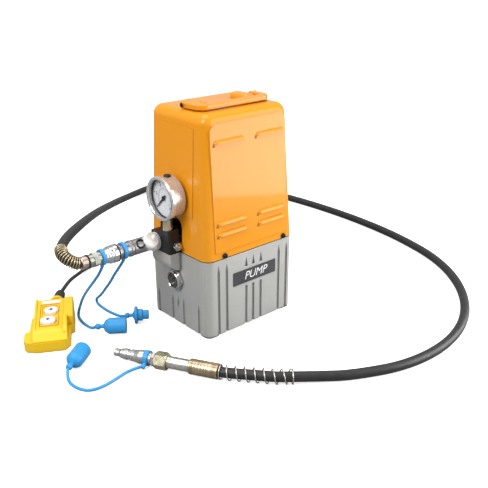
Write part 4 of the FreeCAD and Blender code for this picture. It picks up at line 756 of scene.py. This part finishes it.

# ------------------------------------------------------------------ painted shade for the open ends of the louvres
cover = N["motor_cover"]
inv = cover.matrix_world.inverted()
bm = bmesh.new()
for lz in (166.0, 183.0, 302.0):
    for lx in (-67.0, 12.5):
        tri = [(lx - 3.2, lz - 3.2), (lx + 2.2, lz - 4.2), (lx + 0.8, lz + 2.6)]
        hits = []
        for tx_, tz_ in tri + [(lx - 4.0, lz - 3.0)]:
            o = inv @ Vector((tx_ * MM, -0.3, tz_ * MM))
            okk, where, _n, _i = cover.ray_cast(o, (inv.to_3x3() @ Vector((0, 1, 0))).normalized())
            hits.append((cover.matrix_world @ where).y if okk else None)
        if any(h is None for h in hits):
            continue
        y_ = hits[3]
        v0 = [bm.verts.new((tx_ * MM, min(y_, h) - 0.00012, tz_ * MM)) for (tx_, tz_), h in zip(tri, hits)]
        v1 = [bm.verts.new((tx_ * MM, y_ + 0.0002, tz_ * MM)) for tx_, tz_ in tri]
        bm.faces.new(v0)
        bm.faces.new(list(reversed(v1)))
        for k in range(3):
            bm.faces.new((v0[(k + 1) % 3], v0[k], v1[k], v1[(k + 1) % 3]))
bmesh.ops.recalc_face_normals(bm, faces=bm.faces)
if len(bm.verts):
    # thin triangles of painted shade laid on the cover where the louvre openings are
    add("louvre_opening_painted_shade", mesh_of(bm, "louvre_opening_painted_shade"), "louvre_painted_shade")

# ------------------------------------------------------------------ coupler trim
CP = (-110.0, 25.0, 142.5)
add("coupler_port", lathe("coupler_port", [(0, 10.9), (4.4, 10.9), (4.9, 12.2), (5.6, 12.9), (6.8, 12.9), (7.5, 12.3), (7.5, 8.6), (0, 8.6)],
                          (CP[0] - 34.4, CP[1], CP[2]), (0, -0.8, 0.6), 48), "screw_black")
add("coupler_port_plug", lathe("coupler_port_plug", [(0, 11.9), (1.6, 11.9), (2.4, 11.5), (2.6, 10.8), (0, 10.8)],
                               (CP[0] - 34.4, CP[1], CP[2]), (0, -0.8, 0.6), 32), "zinc")
add("sleeve_band", lathe("sleeve_band", [(12.1, 70.7), (13.5, 70.9), (13.6, 71.6), (13.5, 72.5), (12.1, 72.7), (12.1, 70.7)], CP, (-1, 0, 0), 64),
    "gasket", "locking_sleeve")
# grip rings rolled into the sleeve
bm_parts = []
for st, rr in ((75.0, 13.5), (77.6, 13.5), (83.6, 13.1)):
    add("sleeve_ring_%d" % int(st), lathe("sleeve_ring", [(rr - 0.25, st - 0.7), (rr + 0.28, st - 0.3), (rr + 0.28, st + 0.3), (rr - 0.25, st + 0.7),
                                                          (rr - 0.25, st - 0.7)], CP, (-1, 0, 0), 64), "bright", "locking_sleeve")
add("ferrule_band", lathe("ferrule_band", [(9.2, 118.2), (10.1, 118.5), (10.1, 120.6), (9.2, 120.9), (9.2, 118.2)], CP, (-1, 0, 0), 56),
    "gasket")

# ------------------------------------------------------------------ name plate, sight glass, handle pin
lo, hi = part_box("label_plate")
bm = bmesh.new()
face = Matrix(((1, 0, 0, (lo[0] + hi[0]) / 2 + 0.001), (0, 0, -1, lo[1]), (0, 1, 0, (lo[2] + hi[2]) / 2), (0, 0, 0, 1)))
text_into(bm, "PUMP", 18.5, face, 0.16, 0.28)
words = mesh_of(bm, "plate_lettering")
add("plate_lettering", words, "print_white")
SG = (-90.0, (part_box("sight_glass_lens")[0][1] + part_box("sight_glass_lens")[1][1]) * 500, (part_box("sight_glass_lens")[0][2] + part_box("sight_glass_lens")[1][2]) * 500)
add("sight_reflector", lathe("sight_reflector", [(0, 2.4), (2.2, 2.6), (2.2, 1.6), (8.2, 1.6), (8.8, 2.9), (9.6, 2.9), (9.6, 1.0), (0, 1.0)],
                             SG, (-1, 0, 0), 48), "bright")
add("handle_pin_cap", lathe("handle_pin_cap", [(0, 0), (3.4, 0), (3.4, 0.5), (2.6, 1.2), (0, 1.5)], (-71.55, 0, 348.4), (-1, 0, 0), 32),
    "screw_black")

# ------------------------------------------------------------------ pendant markings
PEND = Matrix.Translation((-0.255, 0.1055, 0)) @ Matrix.Rotation(math.radians(-29.1), 4, "Z")
tilt = Matrix.Rotation(math.atan2(5.2, 89.0), 4, "X")


def rounded(w, h, r, n=6):
    out = []
    for cx, cy, a0 in ((w / 2 - r, h / 2 - r, 0), (-w / 2 + r, h / 2 - r, 90), (-w / 2 + r, -h / 2 + r, 180), (w / 2 - r, -h / 2 + r, 270)):
        out += [(cx + r * math.cos(math.radians(a0 + 90 * k / n)), cy + r * math.sin(math.radians(a0 + 90 * k / n))) for k in range(n + 1)]
    return out


if N["pendant_button_up"].name in bpy.data.objects:
    up_lo, up_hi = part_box("pendant_button_up")
    dn_lo, dn_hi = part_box("pendant_button_down")
    for nm, body, top, x, y, sign in (("up", "up_button", up_hi[2], -2.5, 14.4, 1), ("down", "down_button", dn_hi[2], -6.5, -14.8, -1)):
        bm = bmesh.new()
        arrow = [(-3.4, -1.6 * sign), (0, 3.2 * sign), (3.4, -1.6 * sign), (1.2, -1.6 * sign), (1.2, -3.4 * sign), (-1.2, -3.4 * sign), (-1.2, -1.6 * sign)]
        prism(bm, arrow if sign > 0 else list(reversed(arrow)), -0.05, 0.18, PEND @ Matrix.Translation((x * MM, y * MM, top)))
        add("arrow_" + nm, mesh_of(bm, "arrow_" + nm), "ink_blue", body)
    bm = bmesh.new()
    prism(bm, rounded(29, 8.6, 1.5), 0.0, 0.5, PEND @ Matrix.Translation((-3 * MM, 41.5 * MM, 0.03398)) @ tilt)
    add("pendant_legend", smooth(mesh_of(bm, "pendant_legend")), "button")
    bm = bmesh.new()
    outer, inner_ = rounded(27, 60, 5), rounded(23.5, 56.5, 3.5)
    place = PEND @ Matrix.Translation((-4.5 * MM, 2.5 * MM, 0.03085)) @ tilt
    n_ = len(outer)
    vs = [[bm.verts.new(place @ Vector((x * MM, y * MM, z * MM))) for x, y in ring] for ring, z in ((outer, -0.4), (outer, 0.9), (inner_, 0.9), (inner_, -0.4))]
    for u_, v_ in zip(vs, vs[1:] + vs[:1]):
        for k in range(n_):
            bm.faces.new((u_[k], u_[(k + 1) % n_], v_[(k + 1) % n_], v_[k]))
    add("pendant_window_bead", smooth(mesh_of(bm, "pendant_window_bead")), "yellow")

# ------------------------------------------------------------------ light and floor
bm = bmesh.new()
bmesh.ops.create_grid(bm, x_segments=8, y_segments=8, size=6.0)
floor = bpy.data.objects.new("floor", mesh_of(bm, "floor"))
fm = M["floor"]
ft = fm.node_tree
dim = ft.nodes.new("ShaderNodeBsdfDiffuse")
dim.inputs["Color"].default_value = (0.30, 0.30, 0.30, 1)
fray = ft.nodes.new("ShaderNodeLightPath")
fmix = ft.nodes.new("ShaderNodeMixShader")
fout = [n for n in ft.nodes if n.type == "OUTPUT_MATERIAL"][0]
fsrc = fout.inputs["Surface"].links[0].from_socket
ft.links.new(fray.outputs["Is Camera Ray"], fmix.inputs[0])
ft.links.new(dim.outputs[0], fmix.inputs[1])
ft.links.new(fsrc, fmix.inputs[2])
ft.links.new(fmix.outputs[0], fout.inputs["Surface"])
floor.data.materials.append(fm)
bpy.context.scene.collection.objects.link(floor)

world = bpy.data.worlds.new("studio")
bpy.context.scene.world = world
world.use_nodes = True
wt = world.node_tree
bg = wt.nodes["Background"]
bg.inputs["Color"].default_value = (1.0, 1.0, 1.0, 1.0)
bg.inputs["Strength"].default_value = 0.55
seen = wt.nodes.new("ShaderNodeBackground")
seen.inputs["Color"].default_value = (1.0, 1.0, 1.0, 1.0)
seen.inputs["Strength"].default_value = 1.05
ray = wt.nodes.new("ShaderNodeLightPath")
both = wt.nodes.new("ShaderNodeMixShader")
wt.links.new(ray.outputs["Is Camera Ray"], both.inputs[0])
wt.links.new(bg.outputs["Background"], both.inputs[1])
wt.links.new(seen.outputs["Background"], both.inputs[2])
wt.links.new(both.outputs[0], wt.nodes["World Output"].inputs["Surface"])


def area(name, loc, target, size, power, color=(1, 1, 1), size_y=None):
    ld = bpy.data.lights.new(name, "AREA")
    ld.energy = power
    ld.color = color
    ld.shape = "RECTANGLE"
    ld.size = size
    ld.size_y = size_y or size
    ob = bpy.data.objects.new(name, ld)
    bpy.context.scene.collection.objects.link(ob)
    ob.location = loc
    d = Vector(target) - Vector(loc)
    ob.rotation_euler = d.to_track_quat("-Z", "Y").to_euler()
    return ob


area("key", (-1.5, -0.3, 1.5), (0, 0, 0.15), 1.0, 26)
area("front_card", (0.95, -1.25, 1.05), (0, -0.1, 0.26), 1.0, 9)
area("low_card", (0.56, -0.66, 0.215), (0.0, -0.08, 0.215), 0.80, 5.5, (1, 1, 1), 0.42)
area("top", (0.1, 0.4, 2.2), (0, 0, 0.2), 1.6, 22)

bpy.context.scene.view_settings.view_transform = "Standard"
